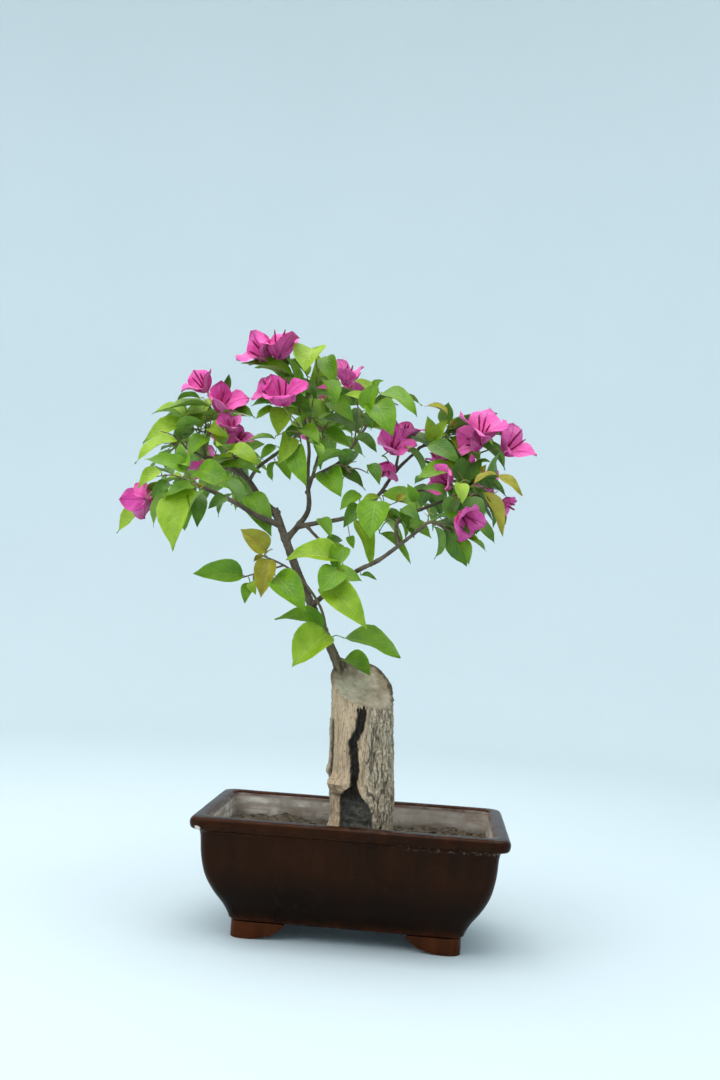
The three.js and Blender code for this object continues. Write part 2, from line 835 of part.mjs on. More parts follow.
// Fits a leaf to its twig, unless it would touch a limb, another mass or the blade of another leaf.
function addLeaf(blades, outers, { root, tip, face }) {
  const aim = tip.clone().sub(root).normalize();
  const sunk = root.clone().addScaledVector(aim, -TWIG_TIP_RADIUS);
  const leaf = bladeSolid(sunk, tip, face, LEAF_WIDTH, LEAF_THICK, LEAF_FOLD);
  const outer = bladeSolid(root.clone().lerp(tip, 0.25), tip, face, LEAF_WIDTH, LEAF_THICK, LEAF_FOLD);
  if (!clearOf(leaf, neighbours) || !clearOf(outer, outers)) return;
  blades.push(leaf);
  outers.push(outer);
}

// A flower cluster on its own twig from the stem.
function addBloom(wood, blades, outers, stem, { head, seats }, mass, bloom) {
  const root = stem.getPoint(0.8);
  const middle = root.clone().lerp(head, 0.55);
  middle.z += TWIG_ARCH * root.distanceTo(head);
  const stalk = limbSolid([root, middle, head], TWIG_RADIUS, TWIG_TIP_RADIUS, 3, 22);
  if (!clearOf(stalk, neighbours)) return;
  wood.push(stalk);
  seats.forEach(({ seat, axis }, flower) => {
    const solid = flowerSolid(seat, axis, mass, bloom, flower);
    if (!clearOf(solid, neighbours) || !clearOf(solid, outers)) return;
    blades.push(solid);
    outers.push(solid);
    if (seats.length > 1) wood.push(limbSolid([head, seat], TWIG_TIP_RADIUS, TWIG_TIP_RADIUS, 3, 30));
  });
}

// The single leaves of a stem or shoot, turned to the front.
function addSingles(blades, outers, stem, singles) {
  for (const [share, ...spot] of singles) {
    const root = stem.getPointAt(share);
    const tip = point(spot);
    addLeaf(blades, outers, { root, tip, face: lightward(root).add(new THREE.Vector3(0, -0.5, 0.2)) });
    taken.push({ spot: root.clone().lerp(tip, 0.55), room: LEAF_ROOM });
  }
}

// The stem of a mass: straight on from its bough's tip, or up from the stump, to the heart.
function stemPath(spec) {
  if (spec.on === 'trunk') return spec.stem.map(point);
  const { end, along } = limbEnds[spec.on];
  const start = end.clone().addScaledVector(along, CLEARANCE);
  const onward = end.clone().addScaledVector(along, 7);
  const rest = spec.stem ? spec.stem.map(point) : [point(spec.heart)];
  return [start, onward, ...rest];
}

// Flowers take their places first, then the single leaves, then the sprays fill up round them.
const massList = Object.entries(MASSES);
const bloomPlans = massList.map(([, spec], mass) => {
  const blooms = spec.blooms ?? [];
  return blooms.map((bloom, index) => planBloom(bloom, mass, FIRST_BLOOM + index));
});
massList.forEach(([name, spec], mass) => {
  const path = stemPath(spec);
  const stem = new THREE.CatmullRomCurve3(path);
  let stemSolid = limbSolid(path, STEM_RADIUS, TWIG_RADIUS, 4, 16);
  for (const earlier of grownLimbs) {
    const own = spec.on !== 'trunk' && earlier === grownLimbs[1 + Object.keys(LIMBS).indexOf(spec.on)];
    if (!own && boxesMeet(stemSolid, earlier, 0)) stemSolid = biggest(stemSolid.subtract(earlier));
  }
  const wood = [stemSolid];
  const blades = [];
  const outers = [];
  bloomPlans[mass].forEach((plan, index) => {
    addBloom(wood, blades, outers, stem, plan, mass, FIRST_BLOOM + index);
  });
  addSingles(blades, outers, stem, spec.single ?? []);
  for (const { at, to, single } of spec.shoots ?? []) {
    const shoot = [stem.getPointAt(at), point(to)];
    wood.push(limbSolid(shoot, TWIG_RADIUS, TWIG_TIP_RADIUS, 3, 22));
    addSingles(blades, outers, new THREE.CatmullRomCurve3(shoot), single);
  }
  for (let twig = 0; twig < (spec.twigs ?? 0); twig += 1) {
    const root = stem.getPoint(0.45 + 0.5 * twig / spec.twigs);
    const aim = spread(twig, spec.twigs, spec.turn);
    const end = point(spec.heart).add(aim.multiply(point(spec.reach)).multiplyScalar(TWIG_REACH));
    const middle = root.clone().lerp(end, 0.5);
    middle.z += TWIG_ARCH * root.distanceTo(end);
    const solid = limbSolid([root, middle, end], TWIG_RADIUS, TWIG_TIP_RADIUS, 3, 22);
    const curve = new THREE.CatmullRomCurve3([root, middle, end]);
    const stands = clearOf(solid, neighbours);
    if (stands) wood.push(solid);
    for (let leaf = 0; leaf < spec.leaves; leaf += 1) {
      const grown = growLeaf(curve, spec, mass, twig, leaf);
      if (grown && stands) addLeaf(blades, outers, grown);
    }
  }
  const solid = fuse(wood, blades);
  neighbours.push(solid);
  place(name, solid, FOLIAGE);
});

export default plant;
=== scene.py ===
import math
import bmesh
import bpy
import numpy as np
from mathutils import Matrix, Vector, noise


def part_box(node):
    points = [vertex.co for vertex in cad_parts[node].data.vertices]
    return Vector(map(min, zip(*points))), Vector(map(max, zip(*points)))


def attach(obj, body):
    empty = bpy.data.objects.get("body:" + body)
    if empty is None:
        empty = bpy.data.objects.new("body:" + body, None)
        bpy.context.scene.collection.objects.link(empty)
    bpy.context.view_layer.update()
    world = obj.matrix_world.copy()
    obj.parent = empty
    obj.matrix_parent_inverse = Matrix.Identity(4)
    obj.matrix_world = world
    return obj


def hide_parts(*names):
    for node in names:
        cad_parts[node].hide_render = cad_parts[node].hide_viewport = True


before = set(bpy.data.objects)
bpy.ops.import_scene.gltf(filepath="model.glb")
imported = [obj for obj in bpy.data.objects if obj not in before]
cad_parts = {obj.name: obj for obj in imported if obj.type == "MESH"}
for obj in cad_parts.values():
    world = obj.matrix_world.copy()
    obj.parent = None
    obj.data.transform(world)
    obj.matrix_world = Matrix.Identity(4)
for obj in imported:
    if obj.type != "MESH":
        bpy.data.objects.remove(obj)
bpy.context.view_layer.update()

# Studio: a pale painted sweep, level under the pot and curving up all round so that no edge shows,
# with one large soft light overhead, a smaller one to the left and the pale sky of the room.


class Shade:
    """One socket of a material. Sums and products of sockets add the nodes that work them out."""

    def __init__(self, tree, socket=None):
        self.tree = tree
        self.socket = socket

    def node(self, kind, settings=None, sockets=None, output=0):
        made = self.tree.nodes.new(kind)
        for name, value in (settings or {}).items():
            setattr(made, name, value)
        for name, value in (sockets or {}).items():
            if isinstance(value, Shade):
                self.tree.links.new(value.socket, made.inputs[name])
            else:
                made.inputs[name].default_value = value
        return Shade(self.tree, made.outputs[output] if made.outputs else None)

    def other(self, output):
        return Shade(self.tree, self.socket.node.outputs[output])

    def sum_of(self, operation, first, second):
        return self.node("ShaderNodeMath", {"operation": operation}, {0: first, 1: second})

    def __add__(self, value):
        return self.sum_of("ADD", self, value)

    def __radd__(self, value):
        return self.sum_of("ADD", value, self)

    def __sub__(self, value):
        return self.sum_of("SUBTRACT", self, value)

    def __rsub__(self, value):
        return self.sum_of("SUBTRACT", value, self)

    def __mul__(self, value):
        return self.sum_of("MULTIPLY", self, value)

    def __rmul__(self, value):
        return self.sum_of("MULTIPLY", value, self)

    def __abs__(self):
        return self.sum_of("ABSOLUTE", self, 0)

    def step(self, low, high):
        """0 below low, 1 above high, with a soft change between; low may be the larger."""
        return self.node("ShaderNodeMapRange", {"interpolation_type": "SMOOTHSTEP"},
                         {"Value": self, "From Min": low, "From Max": high})


def tint(red, green, blue):
    """A colour as it looks on a screen, 0 to 255, as the light it sends back."""
    def light(level):
        share = level / 255
        return share / 12.92 if share < 0.04045 else ((share + 0.055) / 1.055) ** 2.4
    return (light(red), light(green), light(blue), 1)


def new_finish(name):
    """An empty material, the start of its nodes and the place on the piece that its patterns follow."""
    material = bpy.data.materials.new(name)
    material.use_nodes = True
    material.node_tree.nodes.clear()
    shade = Shade(material.node_tree)
    return material, shade, shade.node("ShaderNodeTexCoord", None, None, "Object")


def blend(factor, first, second):
    """A colour that goes from the first to the second as the factor goes from 0 to 1."""
    return factor.node("ShaderNodeMix", {"data_type": "RGBA"}, {0: factor, 6: first, 7: second}, 2)


def grain(place, size, detail=3, rough=0.55, stretch=(1, 1, 1)):
    """Cloudy variation, 0 to 1, with patches of about a size in metres."""
    scale = tuple(1 / (size * share) for share in stretch)
    turn = (0.6, 0.4, 0.8) if stretch == (1, 1, 1) else (0, 0, 0)
    spot = place.node("ShaderNodeMapping", None, {"Vector": place, "Scale": scale, "Rotation": turn})
    return place.node("ShaderNodeTexNoise", None,
                      {"Vector": spot, "Scale": 1, "Detail": detail, "Roughness": rough})


def coat(shade, colour, rough, relief=None, depth=0.001, **fixed):
    """Closes a material: colour, roughness and relief may vary, what else is given is fixed."""
    sockets = {"Base Color": colour, "Roughness": rough}
    sockets.update({name.replace("_", " "): value for name, value in fixed.items()})
    if relief is not None:
        sockets["Normal"] = shade.node("ShaderNodeBump", None, {"Height": relief, "Distance": depth})
    skin = shade.node("ShaderNodeBsdfPrincipled", None, sockets)
    shade.node("ShaderNodeOutputMaterial", None, {"Surface": skin})


def show_mesh(data, name, finishes):
    """Finished mesh data as a smooth, named object with its materials."""
    data.shade_smooth()
    for finish in finishes:
        data.materials.append(finish)
    piece = bpy.data.objects.new(name, data)
    bpy.context.scene.collection.objects.link(piece)
    return piece


def add_piece(mesh, name, *finishes):
    """A bmesh as a named object with its materials."""
    data = bpy.data.meshes.new(name)
    mesh.to_mesh(data)
    mesh.free()
    return show_mesh(data, name, finishes)


board_paint, shade, place = new_finish("board_paint")
coat(shade, blend(grain(place, 0.5), tint(209, 223, 228), tint(214, 227, 232)), 0.9)

sweep = bmesh.new()
level_radius, sweep_radius, wall_top = 1.7, 1.1, 3.0
start = sweep.verts.new((0, 0, 0))
edge_end = sweep.verts.new((level_radius, 0, 0))
sweep.edges.new((start, edge_end))
bend = bmesh.ops.spin(sweep, geom=[edge_end], cent=(level_radius, 0, sweep_radius), axis=(0, -1, 0),
                      angle=math.pi / 2, steps=16)
lip = [item for item in bend["geom_last"] if isinstance(item, bmesh.types.BMVert)]
rise = bmesh.ops.extrude_vert_indiv(sweep, verts=lip)
bmesh.ops.translate(sweep, vec=(0, 0, wall_top - sweep_radius), verts=rise["verts"])
bmesh.ops.spin(sweep, geom=sweep.verts[:] + sweep.edges[:], cent=(0, 0, 0), axis=(0, 0, 1),
               angle=2 * math.pi, steps=64, use_merge=True)
bmesh.ops.remove_doubles(sweep, verts=sweep.verts, dist=0.0005)
bmesh.ops.recalc_face_normals(sweep, faces=sweep.faces)
bmesh.ops.reverse_faces(sweep, faces=sweep.faces)
floor = add_piece(sweep, "floor_sweep", board_paint)

room = bpy.data.worlds.new("room")
room.use_nodes = True
sky = room.node_tree.nodes["Background"].inputs
sky["Color"].default_value, sky["Strength"].default_value = (0.97, 0.98, 0.99, 1), 0.95
bpy.context.scene.world = room
for name, spot, aim, size, power in (
        ("overhead", (-0.2, -0.3, 2.3), (0, 0, 0.4), 2.0, 34),
        ("left_front", (-1.5, -1.5, 1.5), (0, 0, 0.35), 1.0, 12)):
    lamp = bpy.data.lights.new(name, "AREA")
    lamp.size = size
    lamp.energy = power
    stand = bpy.data.objects.new(name, lamp)
    stand.location = spot
    stand.rotation_euler = (Vector(aim) - Vector(spot)).to_track_quat("-Z", "Y").to_euler()
    bpy.context.scene.collection.objects.link(stand)

pot_low, pot_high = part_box("pot")
pot_x, pot_y = (pot_low.x + pot_high.x) / 2, (pot_low.y + pot_high.y) / 2
into_frame = Matrix.Translation((pot_x, pot_y, 0)) @ Matrix.Scale(0.001, 4)

eye = np.array((75.1, -1235.2, 336.1))
yaw, pitch, roll = math.radians(4.164), math.radians(3.874), math.radians(3.8)
forward = Vector((-math.sin(yaw) * math.cos(pitch), math.cos(yaw) * math.cos(pitch), math.sin(pitch)))
level_right = Vector((math.cos(yaw), math.sin(yaw), 0))
level_up = level_right.cross(forward)
right = level_right * math.cos(roll) + level_up * math.sin(roll)
up = level_up * math.cos(roll) - level_right * math.sin(roll)
lens = bpy.data.cameras.new("camera")
lens.sensor_width = 36
lens.lens = 37.75
camera = bpy.data.objects.new("camera", lens)
camera.matrix_world = Matrix((right, up, -forward)).transposed().to_4x4()
camera.location = into_frame @ Vector(eye)
bpy.context.scene.collection.objects.link(camera)
bpy.context.scene.camera = camera
bpy.context.scene.view_settings.view_transform = "Standard"

# Pot: one oblong of stoneware, pressed in a mould, with a heavy rolled lip. It is dipped in a dark
# brown glaze that runs thin and rusty over the edges; the inner wall is bare, pale, stained clay.
rim_half_length, rim_half_width, pot_corner = 161, 101, 13
underside, corner_steps, side_cuts, wall_steps = 17, 8, 30, 4
inner_lip, outer_lip, bottom_edge = (12.5, 1.6, 0.85), (1.8, 0.8, 0.65), (20, 4, 0.3)
lip_low, outer_steps = 122, 30
outer_profile = ((46, 17), (40, 19), (38, 24), (33, 34), (24, 48), (16, 65), (11.5, 85), (9, 109),
                 (7, 112), (1.5, 114), (0, 117), (0, 122.5), (2.5, 125.5), (5, 126))
inner_profile = ((12, 126), (15, 123), (16, 118), (19, 90), (26, 60), (40, 36), (52, 27))


class Bend:
    """A smooth bend through a few points."""

    def __init__(self, points):
        self.points = [np.array(spot, float) for spot in points]
        self.shares = None

    def point(self, share):
        points, last = self.points, len(self.points) - 1
        span = min(int(share * last), last - 1)
        weight = share * last - span
        p1, p2 = points[span], points[span + 1]
        p0 = points[span - 1] if span > 0 else 2 * p1 - p2
        p3 = points[span + 2] if span + 2 <= last else 2 * p2 - p1
        d0, d1, d2 = (max(np.sum((b - a) ** 2) ** 0.25, 1e-4) for a, b in ((p0, p1), (p1, p2), (p2, p3)))
        t1 = ((p1 - p0) / d0 - (p2 - p0) / (d0 + d1) + (p2 - p1) / d1) * d1
        t2 = ((p2 - p1) / d1 - (p3 - p1) / (d1 + d2) + (p3 - p2) / d2) * d1
        c2 = -3 * p1 + 3 * p2 - 2 * t1 - t2
        c3 = 2 * p1 - 2 * p2 + t1 + t2
        return p1 + t1 * weight + c2 * weight ** 2 + c3 * weight ** 3

    def along(self, share):
        step = self.point(min(share + 1e-4, 1)) - self.point(max(share - 1e-4, 0))
        return step / np.linalg.norm(step)

    def measure(self):
        if self.shares is None:
            spots = np.array([self.point(index / 200) for index in range(201)])
            self.shares = np.concatenate(([0], np.cumsum(np.linalg.norm(np.diff(spots, axis=0), axis=1))))
        return self.shares

    def length(self):
        return self.measure()[-1]

    def evenly(self, share):
        """How far along the bend's points a share of its length lies."""
        return float(np.interp(share * self.length(), self.measure(), np.arange(201) / 200))


def lay_oblong(mesh, half_length, half_width, corner, cuts):
    """A flat ring of edges round an oblong with rounded corners."""
    bmesh.ops.create_grid(mesh, x_segments=1, y_segments=1, size=1)
    bmesh.ops.scale(mesh, vec=(half_length, half_width, 1), verts=mesh.verts)
    bmesh.ops.bevel(mesh, geom=mesh.verts[:], offset=corner, offset_type="OFFSET", segments=corner_steps,
                    profile=0.5, affect="VERTICES", material=-1)
    bmesh.ops.delete(mesh, geom=mesh.faces[:], context="FACES_ONLY")
    sides = [edge for edge in mesh.edges if edge.calc_length() > 2 * corner]
    bmesh.ops.subdivide_edges(mesh, edges=sides, cuts=cuts)
    return mesh.edges[:]


def raise_ring(mesh, ring):
    """Extrudes a ring of edges once; gives its new edges, points and the faces between."""
    grown = bmesh.ops.extrude_edge_only(mesh, edges=ring)["geom"]
    edges = [item for item in grown if isinstance(item, bmesh.types.BMEdge) and item.is_boundary]
    spots = [item for item in grown if isinstance(item, bmesh.types.BMVert)]
    faces = [item for item in grown if isinstance(item, bmesh.types.BMFace)]
    return edges, spots, faces


def draw_in(spots, before, after):
    """Draws an oblong ring in from one inset to the next; its corners keep their round."""
    for spot in spots:
        for axis, half in ((0, rim_half_length), (1, rim_half_width)):
            old, new = half - pot_corner - before, half - pot_corner - after
            side = spot.co[axis]
            if abs(side) > old:
                spot.co[axis] = math.copysign(abs(side) - old + new, side)
            else:
                spot.co[axis] = side * new / old


def worn_at(value, band):
    """How thin the glaze is near a band: the band's middle, its breadth and the most it wears."""
    middle, breadth, most = band
    return most * math.exp(-((value - middle) / breadth) ** 2)


def painted(shade, name):
    """A value that each point of the mesh was given."""
    return shade.node("ShaderNodeAttribute", {"attribute_name": name}, None, "Fac")


profile = Bend([(inset, height, 0) for inset, height in outer_profile + inner_profile])
profile_steps = wall_steps * (len(profile.points) - 1)
inner_start = wall_steps * len(outer_profile) + 3
clay = bmesh.new()
thin = clay.verts.layers.float.new("thin")
ring = lay_oblong(clay, rim_half_length, rim_half_width, pot_corner, side_cuts)
first_ring = ring
before, height, _ = profile.point(0)
draw_in(clay.verts, 0, before)
bmesh.ops.translate(clay, vec=(0, 0, height), verts=clay.verts)
for step in range(1, profile_steps + 1):
    ring, spots, faces = raise_ring(clay, ring)
    inset, height, _ = profile.point(step / profile_steps)
    draw_in(spots, before, inset)
    before = inset
    for spot in spots:
        spot.co.z = height
        spot[thin] = max(worn_at(inset, inner_lip) * (height > lip_low),
                         worn_at(inset, outer_lip) * (height > lip_low + 1),
                         worn_at(height, bottom_edge) * (step < outer_steps))
    for face in faces:
        face.material_index = 1 if step > inner_start else 0
bmesh.ops.holes_fill(clay, edges=ring)
bmesh.ops.holes_fill(clay, edges=first_ring)
for spot in clay.verts:
    ripple = noise.noise(spot.co / 55) * 0.5 + noise.noise(spot.co / 23) * 0.15
    if spot.co.z > 20:
        spot.co.z += 0.5 * ripple * (spot.co.z > 100)
        flat = Vector((spot.co.x, spot.co.y, 0)).normalized()
        spot.co += flat * ripple * 0.6
bmesh.ops.recalc_face_normals(clay, faces=clay.faces)
bmesh.ops.transform(clay, matrix=into_frame, verts=clay.verts)

brown_glaze, shade, place = new_finish("brown_glaze")
at_x = shade.node("ShaderNodeSeparateXYZ", None, {"Vector": place})
at_z = at_x.other("Z")
worn = painted(shade, "thin")
clouds = grain(place, 0.09, 2, 0.5)
runs = grain(place, 0.012, 4, 0.6, (1, 1, 7))
specks = grain(place, 0.0012, 2, 0.6)
low_body = at_z.step(0.06, 0.018)
thinness = worn * (0.6 + 0.6 * runs.step(0.3, 0.68)) + low_body * 0.25 * clouds.step(0.25, 0.75)
thinness = thinness.step(0.05, 0.95)
colour = blend(clouds.step(0.2, 0.8), tint(30, 14, 4), tint(45, 21, 6))
colour = blend(runs.step(0.4, 0.75) * 0.4, colour, tint(58, 28, 8))
# Painted reflection: the body is painted darker below about 85 mm, down towards its foot.
colour = blend(at_z.step(0.085, 0.042) * 0.8, colour, tint(16, 7, 3))
colour = blend(thinness, colour, tint(78, 37, 14))
colour = blend(specks.step(0.68, 0.8) * 0.3, colour, tint(70, 44, 28))
under_lip = at_z.step(0.1075, 0.1105) * at_z.step(0.1145, 0.1115)
crust = under_lip * at_x.step(pot_x + 0.035, pot_x + 0.06) * grain(place, 0.004, 3).step(0.52, 0.66)
colour = blend(crust * 0.4, colour, tint(140, 130, 112))
chip_place = into_frame @ Vector((-151, -100, 115.5))
from_chip = shade.node("ShaderNodeVectorMath", {"operation": "DISTANCE"},
                       {0: place, 1: tuple(chip_place)}, "Value")
chip = (from_chip + grain(place, 0.003) * 0.005).step(0.0058, 0.005)
colour = blend(chip, colour, tint(214, 204, 190))
# Painted sheen on the rim's top: a pale grey laid over the glaze there, partly dust.
dust_and_sheen = grain(place, 0.02, 5, 0.65).step(0.5, 0.75) * at_z.step(0.1235, 0.1255)
colour = blend(dust_and_sheen * 0.3, colour, tint(120, 112, 104))
coat(shade, colour, 0.2 + 0.16 * clouds + 0.35 * crust + 0.3 * chip + 0.15 * dust_and_sheen,
     runs * 0.25 + specks * 0.08, 0.0007, Specular_IOR_Level=0.07)

bare_clay, shade, place = new_finish("bare_clay")
at_x = shade.node("ShaderNodeSeparateXYZ", None, {"Vector": place})
at_z = at_x.other("Z")
clouds = grain(place, 0.03, 5, 0.65)
wash = grain(place, 0.016, 4, 0.6, (4, 4, 0.6))
grit = grain(place, 0.0011, 2, 0.7)
colour = blend(clouds.step(0.35, 0.65), tint(176, 164, 150), tint(234, 224, 212))
colour = blend(wash.step(0.45, 0.64) * 0.65, colour, tint(140, 116, 100))
right_end = at_x.step(pot_x - 0.02, pot_x + 0.06)
colour = blend(right_end * clouds.step(0.25, 0.6) * 0.4, colour, tint(152, 124, 108))
colour = blend((at_z + clouds * 0.012).step(0.116, 0.106) * 0.6, colour, tint(104, 90, 76))
colour = blend(at_z.step(0.1185, 0.1225) * clouds.step(0.2, 0.6) * 0.9, colour, tint(82, 48, 34))
colour = blend(grit.step(0.62, 0.75) * 0.4, colour, tint(92, 80, 70))
coat(shade, colour, 0.8 + 0.12 * grit, clouds * 0.5 + grit * 0.35, 0.0012)

pot = add_piece(clay, "pot_glazed", brown_glaze, bare_clay)
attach(pot, "root")
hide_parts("pot")

# Feet: four bracket feet of the same clay, stuck under the corners before firing. Each is two short
# wings that meet at the corner, flat where they stand and curving slowly up to the pot's underside.
foot_inset, foot_thick, foot_contact = 42, 13, 21
foot_length_x, foot_length_y, foot_turn, foot_end = 56, 40, 4, 3
wing_cuts, wing_rows, foot_round = 16, 5, 1.1


def wing_height(reach, length):
    """Height of a wing's lower edge: level to the end of its sole, then a full curve that turns up."""
    if reach <= foot_contact:
        return 0
    first_run = length - foot_turn - foot_contact
    slack = first_run - foot_turn
    share = (first_run - math.sqrt(first_run ** 2 - slack * (reach - foot_contact))) / slack
    rise = 2 * share * (1 - share) * foot_turn + share * share * underside
    return min(rise, underside - foot_end)


for name, side_x, side_y in (("front_left", -1, -1), ("front_right", 1, -1),
                             ("back_left", -1, 1), ("back_right", 1, 1)):
    bracket = bmesh.new()
    thin = bracket.verts.layers.float.new("thin")
    corner_x, corner_y = rim_half_length - foot_inset, rim_half_width - foot_inset
    spots = [bracket.verts.new((corner_x - foot_length_x, corner_y, underside)),
             bracket.verts.new((corner_x, corner_y, underside)),
             bracket.verts.new((corner_x, corner_y - foot_length_y, underside))]
    for pair in zip(spots, spots[1:]):
        bracket.edges.new(pair)
    bmesh.ops.bevel(bracket, geom=[spots[1]], offset=pot_corner, offset_type="OFFSET", segments=corner_steps,
                    profile=0.5, affect="VERTICES", material=-1)
    wings = [edge for edge in bracket.edges if edge.calc_length() > pot_corner]
    bmesh.ops.subdivide_edges(bracket, edges=wings, cuts=wing_cuts)
    _, spots, _ = raise_ring(bracket, bracket.edges[:])
    for spot in spots:
        spot.co.z = max(wing_height(corner_x - spot.co.x, foot_length_x),
                        wing_height(corner_y - spot.co.y, foot_length_y))
    bmesh.ops.subdivide_edges(bracket, cuts=wing_rows, edges=[
        edge for edge in bracket.edges if abs(edge.verts[0].co.z - edge.verts[1].co.z) > 0.1
        and (edge.verts[0].co.xy - edge.verts[1].co.xy).length < 0.01])
    bmesh.ops.recalc_face_normals(bracket, faces=bracket.faces)
    if sum(face.normal.x + face.normal.y for face in bracket.faces) < 0:
        bmesh.ops.reverse_faces(bracket, faces=bracket.faces)
    bmesh.ops.solidify(bracket, geom=bracket.faces[:], thickness=foot_thick)
    rims = [edge for edge in bracket.edges if edge.is_manifold and edge.calc_face_angle() > 0.9]
    bmesh.ops.bevel(bracket, geom=rims, offset=foot_round, offset_type="OFFSET", segments=3, profile=0.5,
                    affect="EDGES", clamp_overlap=True, material=-1)
    for spot in bracket.verts:
        spot.co.z = min(max(spot.co.z, 0), underside + 0.6)
        spot[thin] = 0.7 + 0.25 * noise.noise(spot.co / 14)
    bmesh.ops.scale(bracket, vec=(side_x, side_y, 1), verts=bracket.verts)
    bmesh.ops.recalc_face_normals(bracket, faces=bracket.faces)
    bmesh.ops.transform(bracket, matrix=into_frame, verts=bracket.verts)
    foot = add_piece(bracket, "foot_glazed_" + name, brown_glaze)
    foot.data.set_sharp_from_angle(angle=math.radians(40))
    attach(foot, "root")
    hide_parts("foot_" + name)

# Soil: dry grey-brown loam, watered down a finger's breadth below the rim and lumpy, with a crust of
# clods and grit on it. It is poured round the roots and lies against the bare inner wall.
soil_level, soil_inset, bed_depth = 101, 18.4, 14
stump_foot_x, level_round_stump = 5, 64
clod_count, clod_least, clod_more, bare_round_stump, full_turn = 900, 0.9, 2.9, 40, 6.28


def bumps(x, y, z):
    """Smooth unevenness, about -1 to 1, that changes over one unit of its numbers."""
    return noise.noise(Vector((x, y, z)))


def soil_height(x, y):
    """Height of the lumpy soil, with crumbs on it, level where the stump stands."""
    lumps = math.sin(x * 0.071 + 1.3) * math.cos(y * 0.083) + 0.6 * math.sin(x * 0.163 - y * 0.127)
    away = min(max((math.hypot(x - stump_foot_x, y) - level_round_stump) / 30, 0), 1)
    crumbs = bumps(x / 8, y / 8, 0) * 1.8 + bumps(x / 3.5, y / 3.5, 7) * 1.7
    return soil_level + 2.4 * away * lumps + crumbs


loam = bmesh.new()
bmesh.ops.create_grid(loam, x_segments=150, y_segments=90, size=1)
bmesh.ops.scale(loam, vec=(rim_half_length - soil_inset, rim_half_width - soil_inset, 1), verts=loam.verts)
for spot in loam.verts:
    spot.co.z = soil_height(spot.co.x, spot.co.y)
ring, spots, _ = raise_ring(loam, [edge for edge in loam.edges if edge.is_boundary])
for spot in spots:
    spot.co.z = soil_level - bed_depth
bmesh.ops.holes_fill(loam, edges=ring)
bmesh.ops.recalc_face_normals(loam, faces=loam.faces)
bmesh.ops.transform(loam, matrix=into_frame, verts=loam.verts)

dry_loam, shade, place = new_finish("dry_loam")
lumps = grain(place, 0.009, 5, 0.7)
damp = grain(place, 0.05, 3)
grit = grain(place, 0.0013, 3, 0.7)
colour = blend(lumps.step(0.3, 0.7), tint(50, 41, 31), tint(122, 107, 87))
colour = blend(damp.step(0.5, 0.75) * 0.5, colour, tint(60, 52, 42))
colour = blend(grit.step(0.6, 0.72) * 0.6, colour, tint(150, 138, 122))
coat(shade, colour, 0.95, lumps * 0.7 + grit * 0.5, 0.003)
bed = add_piece(loam, "soil_bed", dry_loam)
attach(bed, "root")
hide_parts("soil")


def chance(mass, twig, leaf, use):
    """A number from 0 to 1 that varies with its keys and is the same on every run."""
    wave = math.sin(mass * 12.9898 + twig * 78.233 + leaf * 37.719 + use * 9.151) * 43758.5453
    return wave - math.floor(wave)


crumbs = bmesh.new()
for lump in range(clod_count):
    x = (2 * chance(40, lump, 0, 1) - 1) * (rim_half_length - soil_inset - 4)
    y = (2 * chance(40, lump, 0, 2) - 1) * (rim_half_width - soil_inset - 4)
    if math.hypot(x - stump_foot_x, y) < bare_round_stump:
        continue
    size = clod_least + clod_more * chance(40, lump, 0, 3) ** 3
    clod = bmesh.ops.create_icosphere(crumbs, subdivisions=1, radius=size)["verts"]
    for spot in clod:
        spot.co *= 0.75 + 0.5 * chance(41, lump, spot.index % 12, 4)
    turn = Matrix.Rotation(full_turn * chance(40, lump, 0, 5), 4, "Z")
    flatten = Matrix.Diagonal((1, 0.8, 0.65, 1))
    bmesh.ops.transform(crumbs, verts=clod,
                        matrix=Matrix.Translation((x, y, soil_height(x, y) + size * 0.2)) @ turn @ flatten)
bmesh.ops.transform(crumbs, matrix=into_frame, verts=crumbs.verts)
clods = add_piece(crumbs, "soil_clods", dry_loam)
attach(clods, "root")
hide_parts("soil")

# Stump: an old trunk sawn off on a slant and weathered grey. Its right side keeps furrowed bark, the
# left is bare, smooth wood; a crack runs down its face into a hollow that was burnt out and is black.
stump_lean, stump_foot_radius, stump_top_radius, stump_depth = -6.5, 36, 32.5, 0.93
stump_sides, stump_sink, rings, cap_rings = 300, 4, 190, 26
cut_height, cut_rise_back, cut_rise_front, cut_fall_right, cut_crest = 263, 0.8, 0.4, 0.3, 287
cut_turn, worn_edge, cut_drop = -20, 2.2, 0.6
knot_x, knot_z, fold_x, fold_z = -21, 158, -18, 148.5
crack_rows = ((244, 1.6, 4.4), (232, 1.8, 5.4), (217, 0.2, 5.2), (204, -6, 5.2), (180, -2, 4.7),
              (157, -2, 4), (148, -4.5, 11.5), (138, -0.5, 15.5), (130, 2, 17), (96, 4, 18.5))
crack_back, crack_back_above = -10, -20
leader_foot, leader_mound, leader_rise = (-31, 8), 12, 10


def soft(value, low, high):
    """0 at low, 1 at high, with a soft change between."""
    share = min(max((value - low) / (high - low), 0), 1)
    return share * share * (3 - 2 * share)


def cut_level(x, y):
    """Height of the saw cut, which eases off at the front and at its crest."""
    slope = (cut_height + cut_rise_back * max(y, cut_turn) + cut_rise_front * min(y - cut_turn, 0)
             - cut_fall_right * x)
    return slope if slope < cut_crest else cut_crest + (slope - cut_crest) * 0.1


def leader_swell(x, y):
    """How much of the old bark's mound round the leader's foot stands at a place."""
    return math.exp(-(math.hypot(x - leader_foot[0], y - leader_foot[1]) / leader_mound) ** 2)


